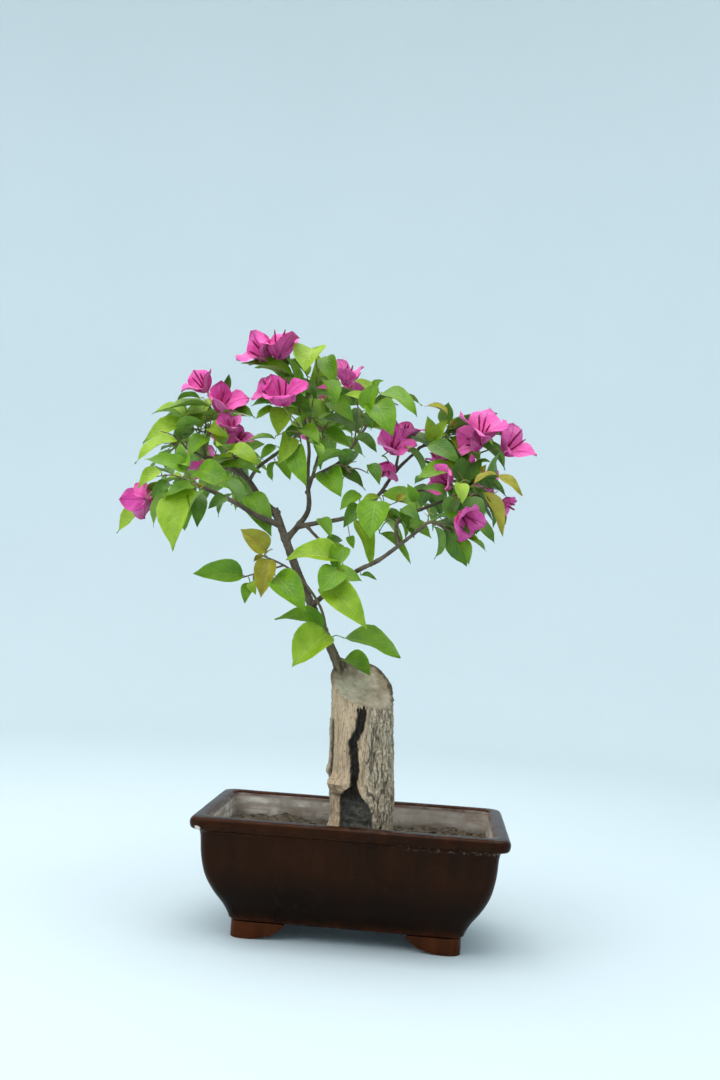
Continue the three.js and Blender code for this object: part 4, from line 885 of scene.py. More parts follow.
TO_FRONT, TO_SKY, BETWEEN = (0, -1, 0.45), (0, -0.5, 1), (0, -0.8, 0.75)
TO_LEFT, TO_RIGHT = (-0.75, -0.75, 0.35), (0.75, -0.75, 0.35)
front_room = 15
front_leaves = (
    (-201, 32, 565, -247, 12, 554, 0.5, TO_SKY, GREEN), (-199, 36, 555, -229, 24, 546, 0.56, TO_SKY, LIME_AND_LIT),
    (-219, 34, 541, -267, 8, 514, 0.44, BETWEEN, LIME_AND_LIT),
    (-228, 8, 520, -268, -14, 488, 0.46, BETWEEN, LIME_AND_LIT),
    (-193, -81, 476, -235, -97, 483, 0.5, TO_FRONT, GREEN),
    (-225, -66, 476, -244, -80, 454, 0.56, TO_FRONT, LIME_AND_LIT),
    (-214, -72, 463, -229, -82, 444, 0.56, TO_FRONT, DEEP_AND_SHADED),
    (-186, -73, 462, -216, -87, 445, 0.56, BETWEEN, GREEN),
    (-178, -76, 455, -198, -98, 390, 0.72, TO_LEFT, LIME_AND_LIT),
    (-222, -62, 445, -220, -70, 427, 0.56, TO_FRONT, LIME_AND_LIT),
    (-245, -20, 444, -278, -28, 409, 0.5, BETWEEN, LIME_AND_LIT),
    (-200, 27, 528, -215, 9, 502, 0.68, TO_FRONT, GREEN),
    (-195, 23, 539, -170, 9, 525, 0.56, TO_FRONT, LIME_AND_LIT),
    (-185, 30, 553, -145, 24, 553, 0.56, TO_SKY, GREEN),
    (-203, 9, 488, -157, -13, 465, 0.52, TO_FRONT, GREEN),
    (-154, -76, 467, -131, -90, 442, 0.56, TO_RIGHT, DEEP_AND_SHADED),
    (-156, -51, 453, -173, -59, 439, 0.56, TO_FRONT, DEEP_AND_SHADED),
    (-179, 18, 495, -130, 2, 488, 0.46, BETWEEN, GREEN),
    (-165, -8, 511, -129, -22, 492, 0.56, BETWEEN, LIME_AND_LIT),
    (-116, -5, 526, -149, -9, 519, 0.56, TO_SKY, GREEN),
    (-116, -2, 519, -130, -10, 500, 0.56, TO_FRONT, GREEN),
    (-115, 2, 502, -115, -6, 478, 0.56, TO_LEFT, GREEN),
    (-111, 1, 502, -95, -9, 480, 0.56, TO_FRONT, GREEN),
    (-143, 4, 464, -111, -12, 417, 0.52, TO_FRONT, GREEN),
    (-93, -17, 518, -73, -35, 471, 0.46, TO_FRONT, GREEN),
    (-33, -15, 509, -68, -27, 489, 0.56, TO_SKY, GREEN),
    (-56, -12, 491, -36, -30, 463, 0.76, TO_FRONT, GREEN),
    (-47, -10, 497, -11, -16, 473, 0.56, TO_RIGHT, DEEP_AND_SHADED),
    (-106, -6, 560, -110, -24, 526, 0.68, TO_FRONT, LIME_AND_LIT),
    (-79, -16, 627, -84, -38, 595, 0.95, TO_FRONT, LIME_AND_LIT),
    (-66, -8, 620, -51, -20, 586, 0.56, TO_FRONT, GREEN),
    (-72, -18, 594, -50, -32, 559, 0.56, TO_RIGHT, GREEN),
    (-99, -22, 594, -155, -28, 603, 0.56, TO_SKY, GREEN),
    (-88, -5, 589, -71, -15, 570, 0.56, TO_FRONT, DEEP_AND_SHADED),
    (-57, -2, 571, -29, -16, 547, 0.56, TO_FRONT, GREEN),
    (-121, -6, 564, -144, -12, 559, 0.56, TO_SKY, DEEP_AND_SHADED),
    (-117, -6, 558, -137, -18, 544, 0.56, BETWEEN, GREEN),
    (-102, -4, 570, -75, -16, 555, 0.56, TO_FRONT, DEEP_AND_SHADED),
    (-71, -7, 557, -87, -21, 543, 0.56, BETWEEN, GREEN),
    (-92, 4, 541, -107, -6, 522, 0.56, TO_FRONT, DEEP_AND_SHADED), (-68, 3, 551, -21, -5, 537, 0.56, TO_SKY, DEEP_AND_SHADED),
    (-62, 4, 540, -32, -8, 521, 0.56, TO_FRONT, GREEN), (-28, -15, 530, -1, -23, 514, 0.56, TO_SKY, DEEP_AND_SHADED),
    (-14, -20, 570, -40, -28, 575, 0.56, TO_FRONT, LIME_AND_LIT),
    (-11, -14, 588, 1, -18, 594, 0.56, TO_FRONT, GREEN), (-1, -18, 581, 40, -30, 554, 0.5, BETWEEN, GREEN),
    (-6, -30, 566, 16, -46, 529, 0.72, TO_FRONT, GREEN),
    (-17, -15, 558, -8, -23, 539, 0.56, TO_FRONT, DEEP_AND_SHADED), (-7, -32, 500, 5, -40, 477, 0.56, TO_FRONT, DEEP_AND_SHADED),
    (59, 21, 536, 50, 15, 564, 0.56, TO_FRONT, LIME_AND_LIT), (60, 21, 538, 73, 17, 561, 0.56, TO_FRONT, LIME_AND_LIT),
    (72, 17, 566, 46, 13, 574, 0.56, TO_SKY, BRONZE), (55, -10, 529, 89, -26, 507, 0.5, TO_FRONT, DEEP_AND_SHADED),
    (79, -14, 504, 44, -40, 486, 0.5, TO_FRONT, GREEN), (76, -40, 469, 51, -50, 474, 0.56, BETWEEN, DEEP_AND_SHADED),
    (45, -52, 460, 35, -58, 478, 0.56, TO_FRONT, GREEN), (7, -16, 469, 52, -30, 453, 0.56, BETWEEN, GREEN),
    (30, -62, 451, 52, -70, 437, 0.56, BETWEEN, DEEP_AND_SHADED),
    (-17, -21, 469, -36, -35, 448, 0.56, TO_FRONT, GREEN),
    (-13, -46, 453, -29, -56, 428, 0.56, TO_FRONT, DEEP_AND_SHADED),
    (5, -17, 466, -15, -27, 457, 0.56, BETWEEN, LIME_AND_LIT), (3, -50, 460, 0, -64, 417, 0.8, TO_FRONT, GREEN),
    (-19, -25, 441, 2, -41, 389, 0.4, TO_RIGHT, LIME_AND_LIT), (8, -46, 426, 44, -60, 394, 0.4, TO_RIGHT, GREEN),
    (-58, -24, 439, -43, -36, 418, 0.56, TO_FRONT, GREEN),
    (-25, -19, 422, -19, -27, 408, 0.56, TO_FRONT, GREEN),
    (-32, -48, 394, -88, -50, 391, 0.6, BETWEEN, LIME_AND_LIT),
    (-29, -40, 410, -38, -52, 383, 0.72, TO_FRONT, GREEN),
    (-30, -61, 383, -47, -75, 358, 0.9, TO_FRONT, GREEN),
    (-38, -52, 380, -5, -62, 373, 0.55, TO_FRONT, GREEN), (-8, -54, 380, 10, -60, 375, 0.56, TO_SKY, DEEP_AND_SHADED),
    (-45, -47, 368, 4, -71, 324, 0.46, TO_FRONT, LIME_AND_LIT), (-24, -32, 313, 39, -48, 296, 0.62, TO_SKY, GREEN),
    (-45, -20, 321, -98, -32, 327, 0.5, BETWEEN, GREEN),
    (-39, -37, 317, -73, -57, 279, 0.82, TO_FRONT, LIME_AND_LIT), (-25, 6, 288, 7, -2, 273, 0.8, TO_SKY, GREEN),
    (-99, -45, 373, -61, -65, 337, 0.58, TO_FRONT, GREEN),
    (-109, -48, 399, -138, -54, 420, 0.68, TO_FRONT, BRONZE),
    (-107, -49, 391, -110, -61, 349, 0.54, TO_FRONT, BRONZE),
    (-111, -47, 393, -122, -55, 386, 0.56, TO_SKY, BRONZE),
    (-110, -47, 396, -101, -53, 401, 0.56, TO_SKY, BRONZE),
    (-133, -40, 372, -186, -50, 370, 0.48, TO_FRONT, GREEN),
    (-126, -39, 365, -129, -47, 342, 0.56, TO_FRONT, GREEN),
    (-126, -41, 365, -117, -51, 352, 0.56, TO_FRONT, LIME_AND_LIT),
    (88, -74, 421, 103, -86, 396, 0.52, TO_RIGHT, GREEN),
    (114, -40, 477, 137, -56, 429, 0.4, TO_RIGHT, BRONZE),
    (129, -32, 496, 156, -40, 474, 0.4, TO_SKY, BRONZE),
    (129, -34, 496, 103, -46, 482, 0.4, TO_SKY, BRONZE),
    (90, -51, 483, 93, -65, 459, 0.56, TO_FRONT, LIME_AND_LIT),
    (101, -45, 470, 113, -57, 439, 0.56, TO_FRONT, DEEP_AND_SHADED),
    (106, 18, 512, 125, 12, 515, 0.56, TO_SKY, GREEN),
    (-187, 36, 584, -180, 34, 604, 0.56, TO_RIGHT, DEEP_AND_SHADED), (38, -67, 429, 24, -71, 448, 0.56, TO_SKY, DEEP_AND_SHADED),
    (-144, 8, 502, -156, 6, 513, 0.56, TO_SKY, DEEP_AND_SHADED), (62, 28, 505, 47, 24, 515, 0.56, TO_SKY, DEEP_AND_SHADED))
front_flowers = (
    (-203, 28, 580, (-0.45, -0.6, 0.7), (0, 1, 0.2), 0.95),
    (-187, 30, 558, (0.35, -0.6, 0.75), (0.9, 0.3, 0), 1.05),
    (-168, 20, 533, (-0.1, -0.6, 0.75), (0.8, 0.3, 0), 0.75),
    (-163, 22, 523, (0.5, -0.55, 0.65), (0.7, 0.5, -0.3), 0.65),
    (-128, -8, 611, (-0.6, -0.65, 0.45), (0.1, 0.9, 0.5), 1.12),
    (-117, -14, 613, (0.1, -0.5, 0.85), (0.2, 1, 0), 1.15),
    (-105, -36, 557, (-0.05, -0.65, 0.75), (1, 0.35, 0), 1.12),
    (-118, -29, 566, (-0.5, -0.6, 0.6), (-0.5, 0, 0.8), 0.8),
    (-41, -8, 589, (0.1, -0.45, 0.85), (1, 0.25, 0), 0.8),
    (13, 0, 517, (0.2, -0.7, 0.6), (0.9, 0, -0.1), 1),
    (22, 10, 533, (0.45, -0.15, 0.9), (0.9, -0.2, 0), 0.85),
    (11, -2, 508, (-0.15, -0.35, -0.9), (0.6, 0, -0.6), 0.65),
    (110, 6, 536, (0.1, -0.6, 0.8), (0, 1, 0), 1.28), (137, 8, 526, (0.5, -0.65, 0.55), (-0.4, 1, 0), 1.1),
    (112, 4, 533, (-0.8, -0.45, 0.1), (0, 0.7, 0.7), 0.9),
    (74, 4, 511, (-0.65, -0.3, 0.5), (0, 0.8, 0.5), 0.75),
    (80, -22, 483, (-0.6, -0.7, 0.25), (0, 0.6, 0.8), 0.85),
    (92, -74, 449, (0.5, -0.6, -0.45), (0.9, -0.1, -0.2), 0.9),
    (136, -6, 471, (0.8, -0.2, -0.3), (0.6, 0, -0.8), 0.5),
    (-237, -68, 445, (-0.65, 0.7, -0.08), (-0.7, -0.65, -0.12), 0.95))


def unit(vector):
    """The direction of a vector."""
    return vector / np.linalg.norm(vector)


def turned_about(vector, axis, angle):
    """A vector turned by an angle about an axis."""
    return (vector * math.cos(angle) + np.cross(axis, vector) * math.sin(angle)
            + axis * np.dot(axis, vector) * (1 - math.cos(angle)))


def lightward(root):
    """Where the upper side of a leaf looks: out of the crown, most to its front or back, and up."""
    outward = root - crown_heart
    outward[1] = outward[1] * 3 + (-60 if outward[1] < 0 else 60)
    return unit(unit(outward) + np.array((0, 0, 0.4)))


def spread(index, count, turn):
    """The direction of one twig of a mass, dealt out evenly all round and more upward than down."""
    height = 1 - 1.6 * (index + 0.5) / count
    across = math.sqrt(1 - height * height)
    angle = index * golden_turn + turn
    return np.array((across * math.cos(angle), across * math.sin(angle), height))


limb_steps, crowd_most = 40, 3000
limb_spots = np.concatenate([[bend.point(index / limb_steps) for index in range(limb_steps + 1)]
                             for bend in bends.values()])
limb_radii = np.repeat([base for base, _, _ in limbs.values()], limb_steps + 1)


def clear_of_limbs(spot, room):
    """Whether a place keeps some room from every limb."""
    return bool(np.all(np.linalg.norm(limb_spots - spot, axis=1) > limb_radii + room))


class Crowd:
    """The places that leaves and blossom already take, each with the room it needs."""

    def __init__(self):
        self.spots, self.needs, self.count = np.zeros((crowd_most, 3)), np.zeros(crowd_most), 0

    def add(self, spot, need):
        self.spots[self.count], self.needs[self.count] = spot, need
        self.count += 1

    def free(self, spot, share, room):
        away = np.linalg.norm(self.spots[:self.count] - spot, axis=1)
        return bool(np.all(away > self.needs[:self.count] * share + room))


taken, front_seen = Crowd(), []
sky_gaps = ((-54, -36, 509, 532), (-132, -74, 426, 477), (-70, -31, 439, 475), (9, 37, 466, 497),
            (-200, -146, 380, 420), (20, 150, 300, 380), (-320, -258, 462, 512))


def seen_from_front(spot):
    """Where a place appears from the front, on an upright plane through the pot's middle."""
    return (eye + (spot - eye) * (-eye[1] / (spot[1] - eye[1])))[[0, 2]]


def hides_front(spot, room):
    """Whether a place stands before one of the leaves or flowers that are set at the front."""
    x, z = seen_from_front(spot)
    return any(math.hypot(x - left, z - high) < room + need and spot[1] < depth
               for left, high, depth, need in front_seen)


def in_sky_gap(spot):
    """Whether a place stands before or behind one of the openings in the crown, seen from the front."""
    x, z = seen_from_front(spot)
    return any(left < x < right and low < z < high for left, right, low, high in sky_gaps)


class Heap:
    """Many small shapes of one kind, gathered and joined into one mesh."""

    def __init__(self):
        self.spots, self.faces, self.tones, self.marks, self.count = [], [], [], [], 0

    def add(self, spots, faces, tone, marks):
        self.spots.append(spots)
        self.faces.append(faces + self.count)
        self.tones.append(np.full(len(faces), tone))
        self.marks.append(marks)
        self.count += len(spots)

    def joined(self, name, finishes):
        data = bpy.data.meshes.new(name)
        spots = np.concatenate(self.spots) / 1000 + np.array((pot_x, pot_y, 0))
        faces = np.concatenate(self.faces)
        data.from_pydata(spots.tolist(), [], faces.tolist())
        data.polygons.foreach_set("material_index", np.concatenate(self.tones).astype(np.int32))
        sheet = data.uv_layers.new(name="blade")
        sheet.data.foreach_set("uv", np.concatenate(self.marks)[faces.ravel()].ravel().astype(np.float32))
        return show_mesh(data, name, finishes)


def add_tube(heap, bend, radii, sides, steps, tone):
    """A thin stem of an even number of sides along a bend, its radius read from a short row of sizes."""
    angles = np.arange(sides) * 2 * math.pi / sides
    spots, marks = [], []
    for index, (spot, _, side, over) in enumerate(frames_along(bend, steps)):
        radius = np.interp(index / steps, np.linspace(0, 1, len(radii)), radii)
        spots.append(spot + radius * (np.outer(np.cos(angles), side) + np.outer(np.sin(angles), over)))
        marks.append(np.stack([angles / 6.284, np.full(sides, index / steps)], 1))
    ring = np.arange(sides)
    quads = np.stack([ring, np.roll(ring, -1), np.roll(ring, -1) + sides, ring + sides], 1)
    end = np.array([(0, side, side + 1, side + 2) for side in range(1, sides - 2, 2)])
    faces = [quads + sides * index for index in range(steps)] + [end[:, ::-1], end + sides * steps]
    heap.add(np.concatenate(spots), np.concatenate(faces), tone, np.concatenate(marks))


BROWN_TWIG, GREEN_SHOOT = 0, 1
twigs, leaves, flowers, grown_twigs, wood = Heap(), [], [], [], [limb_spots]


def add_twig(bend, radii, sides, steps, tone):
    """A twig's round stem; its places are kept for what is hung on it."""
    add_tube(twigs, bend, radii, sides, steps, tone)
    wood.append(np.array([bend.point(index / 12) for index in range(13)]))


def plan_leaf(root, along, length, terminal, droop, spec, keys, share, room, reach):
    """One leaf of a twig, set in a spiral, leaning on and drooping; None where there is no room."""
    for attempt in range(leaf_tries):
        turn = keys[2] * golden_turn + full_turn * chance(*keys, 1) + attempt * full_turn / leaf_tries
        across = turned_about(unit(np.array((-along[1], along[0], 0.001))), along, turn)
        aim = along * (1 if terminal else 0.45) + across * (0.35 if terminal else 0.9)
        aim[2] -= droop * (0.5 + chance(*keys, 2))
        aim = unit(aim)
        tip, middle = root + aim * length, root + aim * length * 0.55
        if np.linalg.norm((tip - spec["heart"]) / spec["reach"]) > reach:
            continue
        if not taken.free(middle, share, room) or not clear_of_limbs(middle, 1.5):
            continue
        if in_sky_gap(middle) or in_sky_gap(tip) or hides_front(middle, 10):
            continue
        taken.add(middle, leaf_room)
        face = 0.55 * lightward(root)
        face[0] += 1.3 * (chance(*keys, 4) - 0.5)
        face[1] += 0.9 * (chance(*keys, 5) - 0.5)
        face[2] += 0.3 + 0.7 * chance(*keys, 6)
        return root, tip, face
    return None


def spray_tone(spec, mass, twig):
    """The green that a whole spray takes, dealt at random with painted light in it: lit lime more to the
    crown's left and on top, shaded deep green more to its right.
    """
    deal = chance(mass, twig, 0, 11)
    light = 0.34 - (spec["heart"][0] + 60) / 450 + (spec["heart"][2] - 500) / 500
    return LIME_AND_LIT if deal < light else GREEN if deal < light + 0.52 else DEEP_AND_SHADED


def grow_leaves(bend, spec, mass, twig):
    """The leaves of a twig itself, as large as the plant bears them."""
    for leaf in range(spec["leaves"]):
        terminal = leaf == spec["leaves"] - 1
        share = 0.98 if terminal else 0.3 + 0.65 * leaf / spec["leaves"]
        length = leaf_length * (0.72 + 0.5 * chance(mass, twig, leaf, 3)) * (0.85 if terminal else 1)
        grown = plan_leaf(bend.point(share), bend.along(share), length, terminal, leaf_droop, spec,
                          (mass, twig, leaf), 1, leaf_room, 1.04)
        if grown:
            leaves.append((*grown, spray_tone(spec, mass, twig), (mass, twig, leaf)))


def grow_side_shoots(bend, spec, mass, twig, count):
    """Short side shoots of a twig, each with a leaf or two, a thorn and a tuft of young ones."""
    for index in range(count):
        keys = (mass, twig, shoot_key + 10 * index)
        share = 0.35 + 0.6 * (index + 0.4 * chance(*keys, 1)) / count
        root, along = bend.point(share), bend.along(share)
        across = turned_about(unit(np.array((-along[1], along[0], 0.001))), along,
                              index * golden_turn + full_turn * chance(*keys, 2))
        aim = unit(along * 0.5 + across * 0.9 + np.array((0, 0, 0.25)))
        end = root + aim * (shoot_least + shoot_more * chance(*keys, 3))
        if (np.linalg.norm((end - spec["heart"]) / spec["reach"]) > 0.92 or not clear_of_limbs(end, 2)
                or in_sky_gap(end)):
            continue
        shoot = Bend((root, (root + end) / 2 + np.array((0, 0, 1.6)), end))
        tone = min(spray_tone(spec, mass, twig + 7 * index) + (chance(*keys, 7) < 0.6), DEEP_AND_SHADED)
        outward = unit((end - crown_heart) * (1, 1.6, 0.7))
        borne = 0
        for leaf, at in enumerate((0.55, 1)):
            leaf_keys = (mass, twig, keys[2] + leaf + 1)
            length = small_leaf_least + small_leaf_more * chance(*leaf_keys, 3)
            grown = plan_leaf(shoot.point(at), unit(shoot.along(at) + 0.7 * outward), length, at == 1,
                              0.45, spec, leaf_keys, 0.75, 9, 1.12)
            if grown:
                leaves.append((*grown, tone, leaf_keys))
                borne += 1
        if not borne:
            continue
        add_tube(twigs, shoot, (0.9, 0.65, 0.5), 6, 4, GREEN_SHOOT)
        thorn_root, thorn_aim = shoot.point(0.3), unit(across - 0.6 * along + np.array((0, 0.2, 0.3)))
        thorn = Bend((thorn_root, thorn_root + thorn_length * thorn_aim))
        add_tube(twigs, thorn, (0.55, 0.08), 4, 2, BROWN_TWIG)
        young = BRONZE if chance(*keys, 5) < bronze_share else LIME_AND_LIT
        for leaf in range(2 if chance(*keys, 6) < young_share else 0):
            leaf_keys = (mass, twig, keys[2] + leaf + 5)
            lean = turned_about(across, aim, 2.2 * leaf + full_turn * chance(*leaf_keys, 1))
            tip = end + unit(aim + 0.7 * lean) * (young_least + young_more * chance(*leaf_keys, 3))
            leaves.append((end, tip, lightward(end) + 0.4 * lean, young, leaf_keys))


def plan_bloom(x, y, z, count, mass, bloom):
    """A cluster of flowers: the head of its stalk, and each flower's seat and axis."""
    middle = np.array((x, y, z), float)
    axis = lightward(middle)
    head = middle - axis * (bloom_stalk if count > 1 else bract_length / 2)
    seats = []
    for flower in range(count):
        across = unit(np.array((axis[2], 0.02, -axis[0])))
        across = turned_about(across, axis,
                              flower * full_turn / count + full_turn * chance(mass, bloom, 0, 8))
        aim = unit(axis + across * (1.1 if count > 1 else 0.1))
        seats.append((head + aim * (bloom_stalk if count > 1 else 0), unit(aim + 0.4 * axis), across))
    taken.add(middle, bract_length if count > 1 else bract_length / 2)
    return head, seats


def add_singles(stem, singles, mass):
    """Leaves set one by one along a stem."""
    for index, (share, x, y, z, tone) in enumerate(singles):
        keys = (mass, single_key, index)
        root, tip = stem.point(stem.evenly(share)), np.array((x, y, z), float)
        lean = np.array((1.3 * (chance(*keys, 4) - 0.5), -0.4, 0.9 * chance(*keys, 6)))
        leaves.append((root, tip, lightward(root) + lean, tone, keys))
        taken.add(root + 0.55 * (tip - root), leaf_room)


plans = [[plan_bloom(*bloom, mass, first_bloom + index) for index, bloom in enumerate(spec.get("blooms", ()))]
         for mass, spec in enumerate(masses.values())]
for mass, spec in enumerate(masses.values()):
    if spec["on"] == "trunk":
        path, stem_start = [np.array(spot, float) for spot in spec["stem"]], 2.2
    else:
        bough, stem_start = bends[spec["on"]], limbs[spec["on"]][1]
        end, along = bough.point(1), bough.along(1)
        onward = spec.get("stem", (spec.get("heart"),))
        path = [end - along * 2, end + along * 7] + [np.array(spot, float) for spot in onward]
    stem = Bend(path)
    add_twig(stem, (stem_start, stem_radius, twig_radius), 8, max(4, round(stem.length() / 6)), BROWN_TWIG)
    for index, (head, seats) in enumerate(plans[mass]):
        root = stem.point(0.8)
        middle = root + 0.55 * (head - root) + np.array((0, 0, twig_arch * np.linalg.norm(head - root)))
        add_tube(twigs, Bend((root, middle, head)), (twig_radius, twig_tip_radius), 6, 8, GREEN_SHOOT)
        for flower, (seat, axis, first) in enumerate(seats):
            flowers.append((seat, axis, first, 1, (mass, first_bloom + index, flower)))
            if len(seats) > 1:
                add_tube(twigs, Bend((head, seat)), (0.7, 0.6), 6, 3, GREEN_SHOOT)
    add_singles(stem, spec.get("single", ()), mass)
    for at, to, singles in spec.get("shoots", ()):
        shoot = Bend((stem.point(stem.evenly(at)), to))
        add_twig(shoot, (twig_radius, twig_tip_radius), 6, 6, BROWN_TWIG)
        add_singles(shoot, singles, mass)
    for twig in range(spec.get("twigs", 0)):
        root = stem.point(0.45 + 0.5 * twig / spec["twigs"])
        aim = spread(twig, spec["twigs"], spec["turn"])
        end = np.array(spec["heart"], float) + aim * spec["reach"] * twig_reach
        middle = (root + end) / 2 + np.array((0, 0, twig_arch * np.linalg.norm(end - root)))
        bend = Bend((root, middle, end))
        add_twig(bend, (twig_radius, twig_tip_radius, 0.5), 6, 8, BROWN_TWIG if twig % 3 else GREEN_SHOOT)
        grown_twigs.append((bend, spec, mass, twig))
    if "heart" in spec:
        grown_twigs.append((stem, spec, mass, stem_key))

wood_spots = np.concatenate(wood)


def hang_from_wood(place, thick):
    """A short green shoot from the nearest wood to a place."""
    root = wood_spots[np.argmin(np.linalg.norm(wood_spots - place, axis=1))]
    gap = np.linalg.norm(place - root)
    if gap > 0.5:
        knee = root + 0.5 * (place - root) + np.array((0, 0, twig_arch * gap))
        add_tube(twigs, Bend((root, knee, place)), (thick, thick * 0.7), 6, 6, GREEN_SHOOT)


for index, (x, y, z, axis, first, size) in enumerate(front_flowers):
    seat, axis = np.array((x, y, z), float), unit(np.array(axis, float))
    hang_from_wood(seat, 1)
    flowers.append((seat, axis, np.array(first, float), size, (flower_key, index, 0)))
    middle = seat + axis * bract_length * size * 0.5
    taken.add(middle, bract_length * size * 0.45)
    front_seen.append((*seen_from_front(middle), middle[1], 12))
for index, (x, y, z, to_x, to_y, to_z, width, look, tone) in enumerate(front_leaves):
    base, tip = np.array((x, y, z), float), np.array((to_x, to_y, to_z), float)
    hang_from_wood(base, 0.7)
    keys = (leaf_key, index, 0)
    lean = np.array((0.5 * (chance(*keys, 4) - 0.5), 0, 0.4 * (chance(*keys, 6) - 0.5)))
    leaves.append((base, tip, np.array(look, float) + lean, tone, keys, 0.02, width))
    middle = (base + tip) / 2
    taken.add(middle, front_room)
    front_seen.append((*seen_from_front(middle), middle[1], 0.24 * np.linalg.norm(tip - base)))
for bend, spec, mass, twig in grown_twigs:
    if twig < stem_key:
        grow_leaves(bend, spec, mass, twig)
for bend, spec, mass, twig in grown_twigs:
    grow_side_shoots(bend, spec, mass, twig, 2 if twig < stem_key else 3)

# Leaves: smooth, broad and pointed, folded a little along a pale midrib, glossy above and dull and
# greyer below, each on a short green stalk. A spray is of one green, lime and deep ones standing also
# for lit and shaded leaves as painted light and painted shade; the youngest leaves are bronze.
rows = np.array((0, 0.03, 0.08, 0.16, 0.26, 0.38, 0.51, 0.64, 0.77, 0.89, 1.0))
half_widths = np.array((0.03, 0.2, 0.33, 0.44, 0.495, 0.5, 0.455, 0.37, 0.25, 0.105, 0.004))
columns = np.array((-1, -0.55, 0, 0.55, 1.0))
leaf_skin, rib_round, under_tones = 0.16, 0.08, 4


def blade_grid(rows, columns, thick):
    """Rows and columns over a blade, its marks for patterns, half its thickness all over and its faces."""
    row, column = np.meshgrid(rows, columns, indexing="ij")
    marks = np.stack([(column.ravel() + 1) / 2, row.ravel()], 1)
    skin = (thick * (1 - column ** 2) * np.sqrt(np.clip(np.sin(np.pi * row), 0, 1)))[..., None]
    wide = len(columns)
    cells = np.array([(at, at + 1, at + wide + 1, at + wide)
                      for at in range((len(rows) - 1) * wide) if (at + 1) % wide])
    return row, column, marks, skin, cells


row_grid, column_grid, blade_marks, blade_skin, cells = blade_grid(rows, columns, leaf_skin)
blades = Heap()


def add_leaf(root, tip, face, tone, keys, stalk_share=0.15, width_share=None):
    """A leaf blade with an upper and a lower skin, on its stalk."""
    aim = tip - root
    reach = np.linalg.norm(aim)
    aim = aim / reach
    upper = unit(face - aim * np.dot(face, aim))
    side = np.cross(aim, upper)
    stalk = stalk_share * reach
    length = reach - stalk
    width = (width_share or 0.5 + 0.16 * chance(*keys, 12)) * length
    fold = 0.4 + 0.5 * chance(*keys, 13)
    arch = 0.35 + 0.85 * chance(*keys, 14)
    twist = 0.7 * (chance(*keys, 17) - 0.5)
    wave, phase = 0.012 + 0.018 * chance(*keys, 15), full_turn * chance(*keys, 16)
    first, over = (aim * math.cos(arch / 2) + upper * math.sin(arch / 2),
                   upper * math.cos(arch / 2) - aim * math.sin(arch / 2))
    bow = length * (arch / 2) / math.sin(arch / 2) / arch
    base = root + aim * stalk
    half = np.interp(row_grid, rows, half_widths) * column_grid * width
    lift = (fold * (np.hypot(half, rib_round * width) - rib_round * width)
            + wave * length * np.sin(row_grid * 11 + phase + column_grid * 2) * np.abs(column_grid))
    bent, turn = arch * row_grid[..., None], twist * row_grid[..., None]
    skyward = over * np.cos(bent) + first * np.sin(bent)
    sideways = side * np.cos(turn) + skyward * np.sin(turn)
    spots = (base + bow * (np.sin(bent) * first - (1 - np.cos(bent)) * over)
             + half[..., None] * sideways + lift[..., None] * skyward)
    blades.add((spots + blade_skin * skyward).reshape(-1, 3), cells[:, (0, 3, 2, 1)], tone, blade_marks)
    blades.add((spots - blade_skin * skyward).reshape(-1, 3), cells, tone + under_tones, blade_marks)
    hang = root + aim * stalk * 0.5 + upper * stalk * 0.12
    add_tube(twigs, Bend((root, hang, base + aim * length * 0.02)), (0.75, 0.5, 0.45), 4, 3, GREEN_SHOOT)


for leaf in leaves:
    add_leaf(*leaf)


def on_blade(shade):
    """How far along a blade a place lies, and how far from its midrib."""
    marks = shade.node("ShaderNodeUVMap", {"uv_map": "blade"})
    across = shade.node("ShaderNodeSeparateXYZ", None, {"Vector": marks})
    return across.other("Y"), abs(across - 0.5)


def from_vein(slant):
    """How far a place is from the nearest of eight side veins along a blade."""
    teeth = slant * 8
    return abs(teeth.sum_of("FRACT", teeth, 0) - 0.5)


leaf_finishes = []
for name, colour_low, colour_high, vein, gloss in (
        ("leaf_lime_and_lit", (124, 158, 10), (150, 182, 34), (174, 200, 76), 0.42),
        ("leaf_green", (88, 134, 0), (114, 156, 10), (142, 180, 48), 0.4),
        ("leaf_deep_and_shaded", (58, 100, 0), (82, 124, 4), (112, 152, 34), 0.38),
        ("leaf_bronze", (132, 128, 12), (160, 156, 38), (160, 104, 58), 0.46),
        ("underside_lime_and_lit", (140, 174, 62), (160, 192, 82), (182, 206, 112), 0.6),
        ("underside_green", (112, 152, 52), (134, 170, 70), (162, 190, 102), 0.6),
        ("underside_deep_and_shaded", (92, 130, 48), (112, 148, 62), (142, 170, 92), 0.6),
        ("underside_bronze", (140, 134, 44), (162, 154, 62), (176, 134, 84), 0.6)):
    finish, shade, place = new_finish(name)
    run, off_rib = on_blade(shade)
    rib = off_rib.step(0.03, 0.006)
    side_veins = from_vein(run - off_rib * 0.75).step(0.2, 0.0) * off_rib.step(0.48, 0.1)
    mottle = grain(place, 0.014, 4, 0.6)
    quilt = grain(place, 0.004, 2)
    colour = blend(mottle.step(0.3, 0.7), tint(*colour_low), tint(*colour_high))
    # Painted light: the blade's edge is lined with the paler vein colour, a light rim where light shows
    # through it.
    colour = blend(rib * 0.6 + side_veins * 0.2 + off_rib.step(0.455, 0.495) * 0.4, colour, tint(*vein))
    relief = quilt * 0.5 - rib * 0.4 - side_veins * 0.5 + mottle * 0.4
    coat(shade, colour, gloss + 0.14 * mottle, relief, 0.0006, Specular_IOR_Level=0.42)
    leaf_finishes.append(finish)
foliage = blades.joined("leaves", leaf_finishes)
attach(foliage, "root")
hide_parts(*masses)

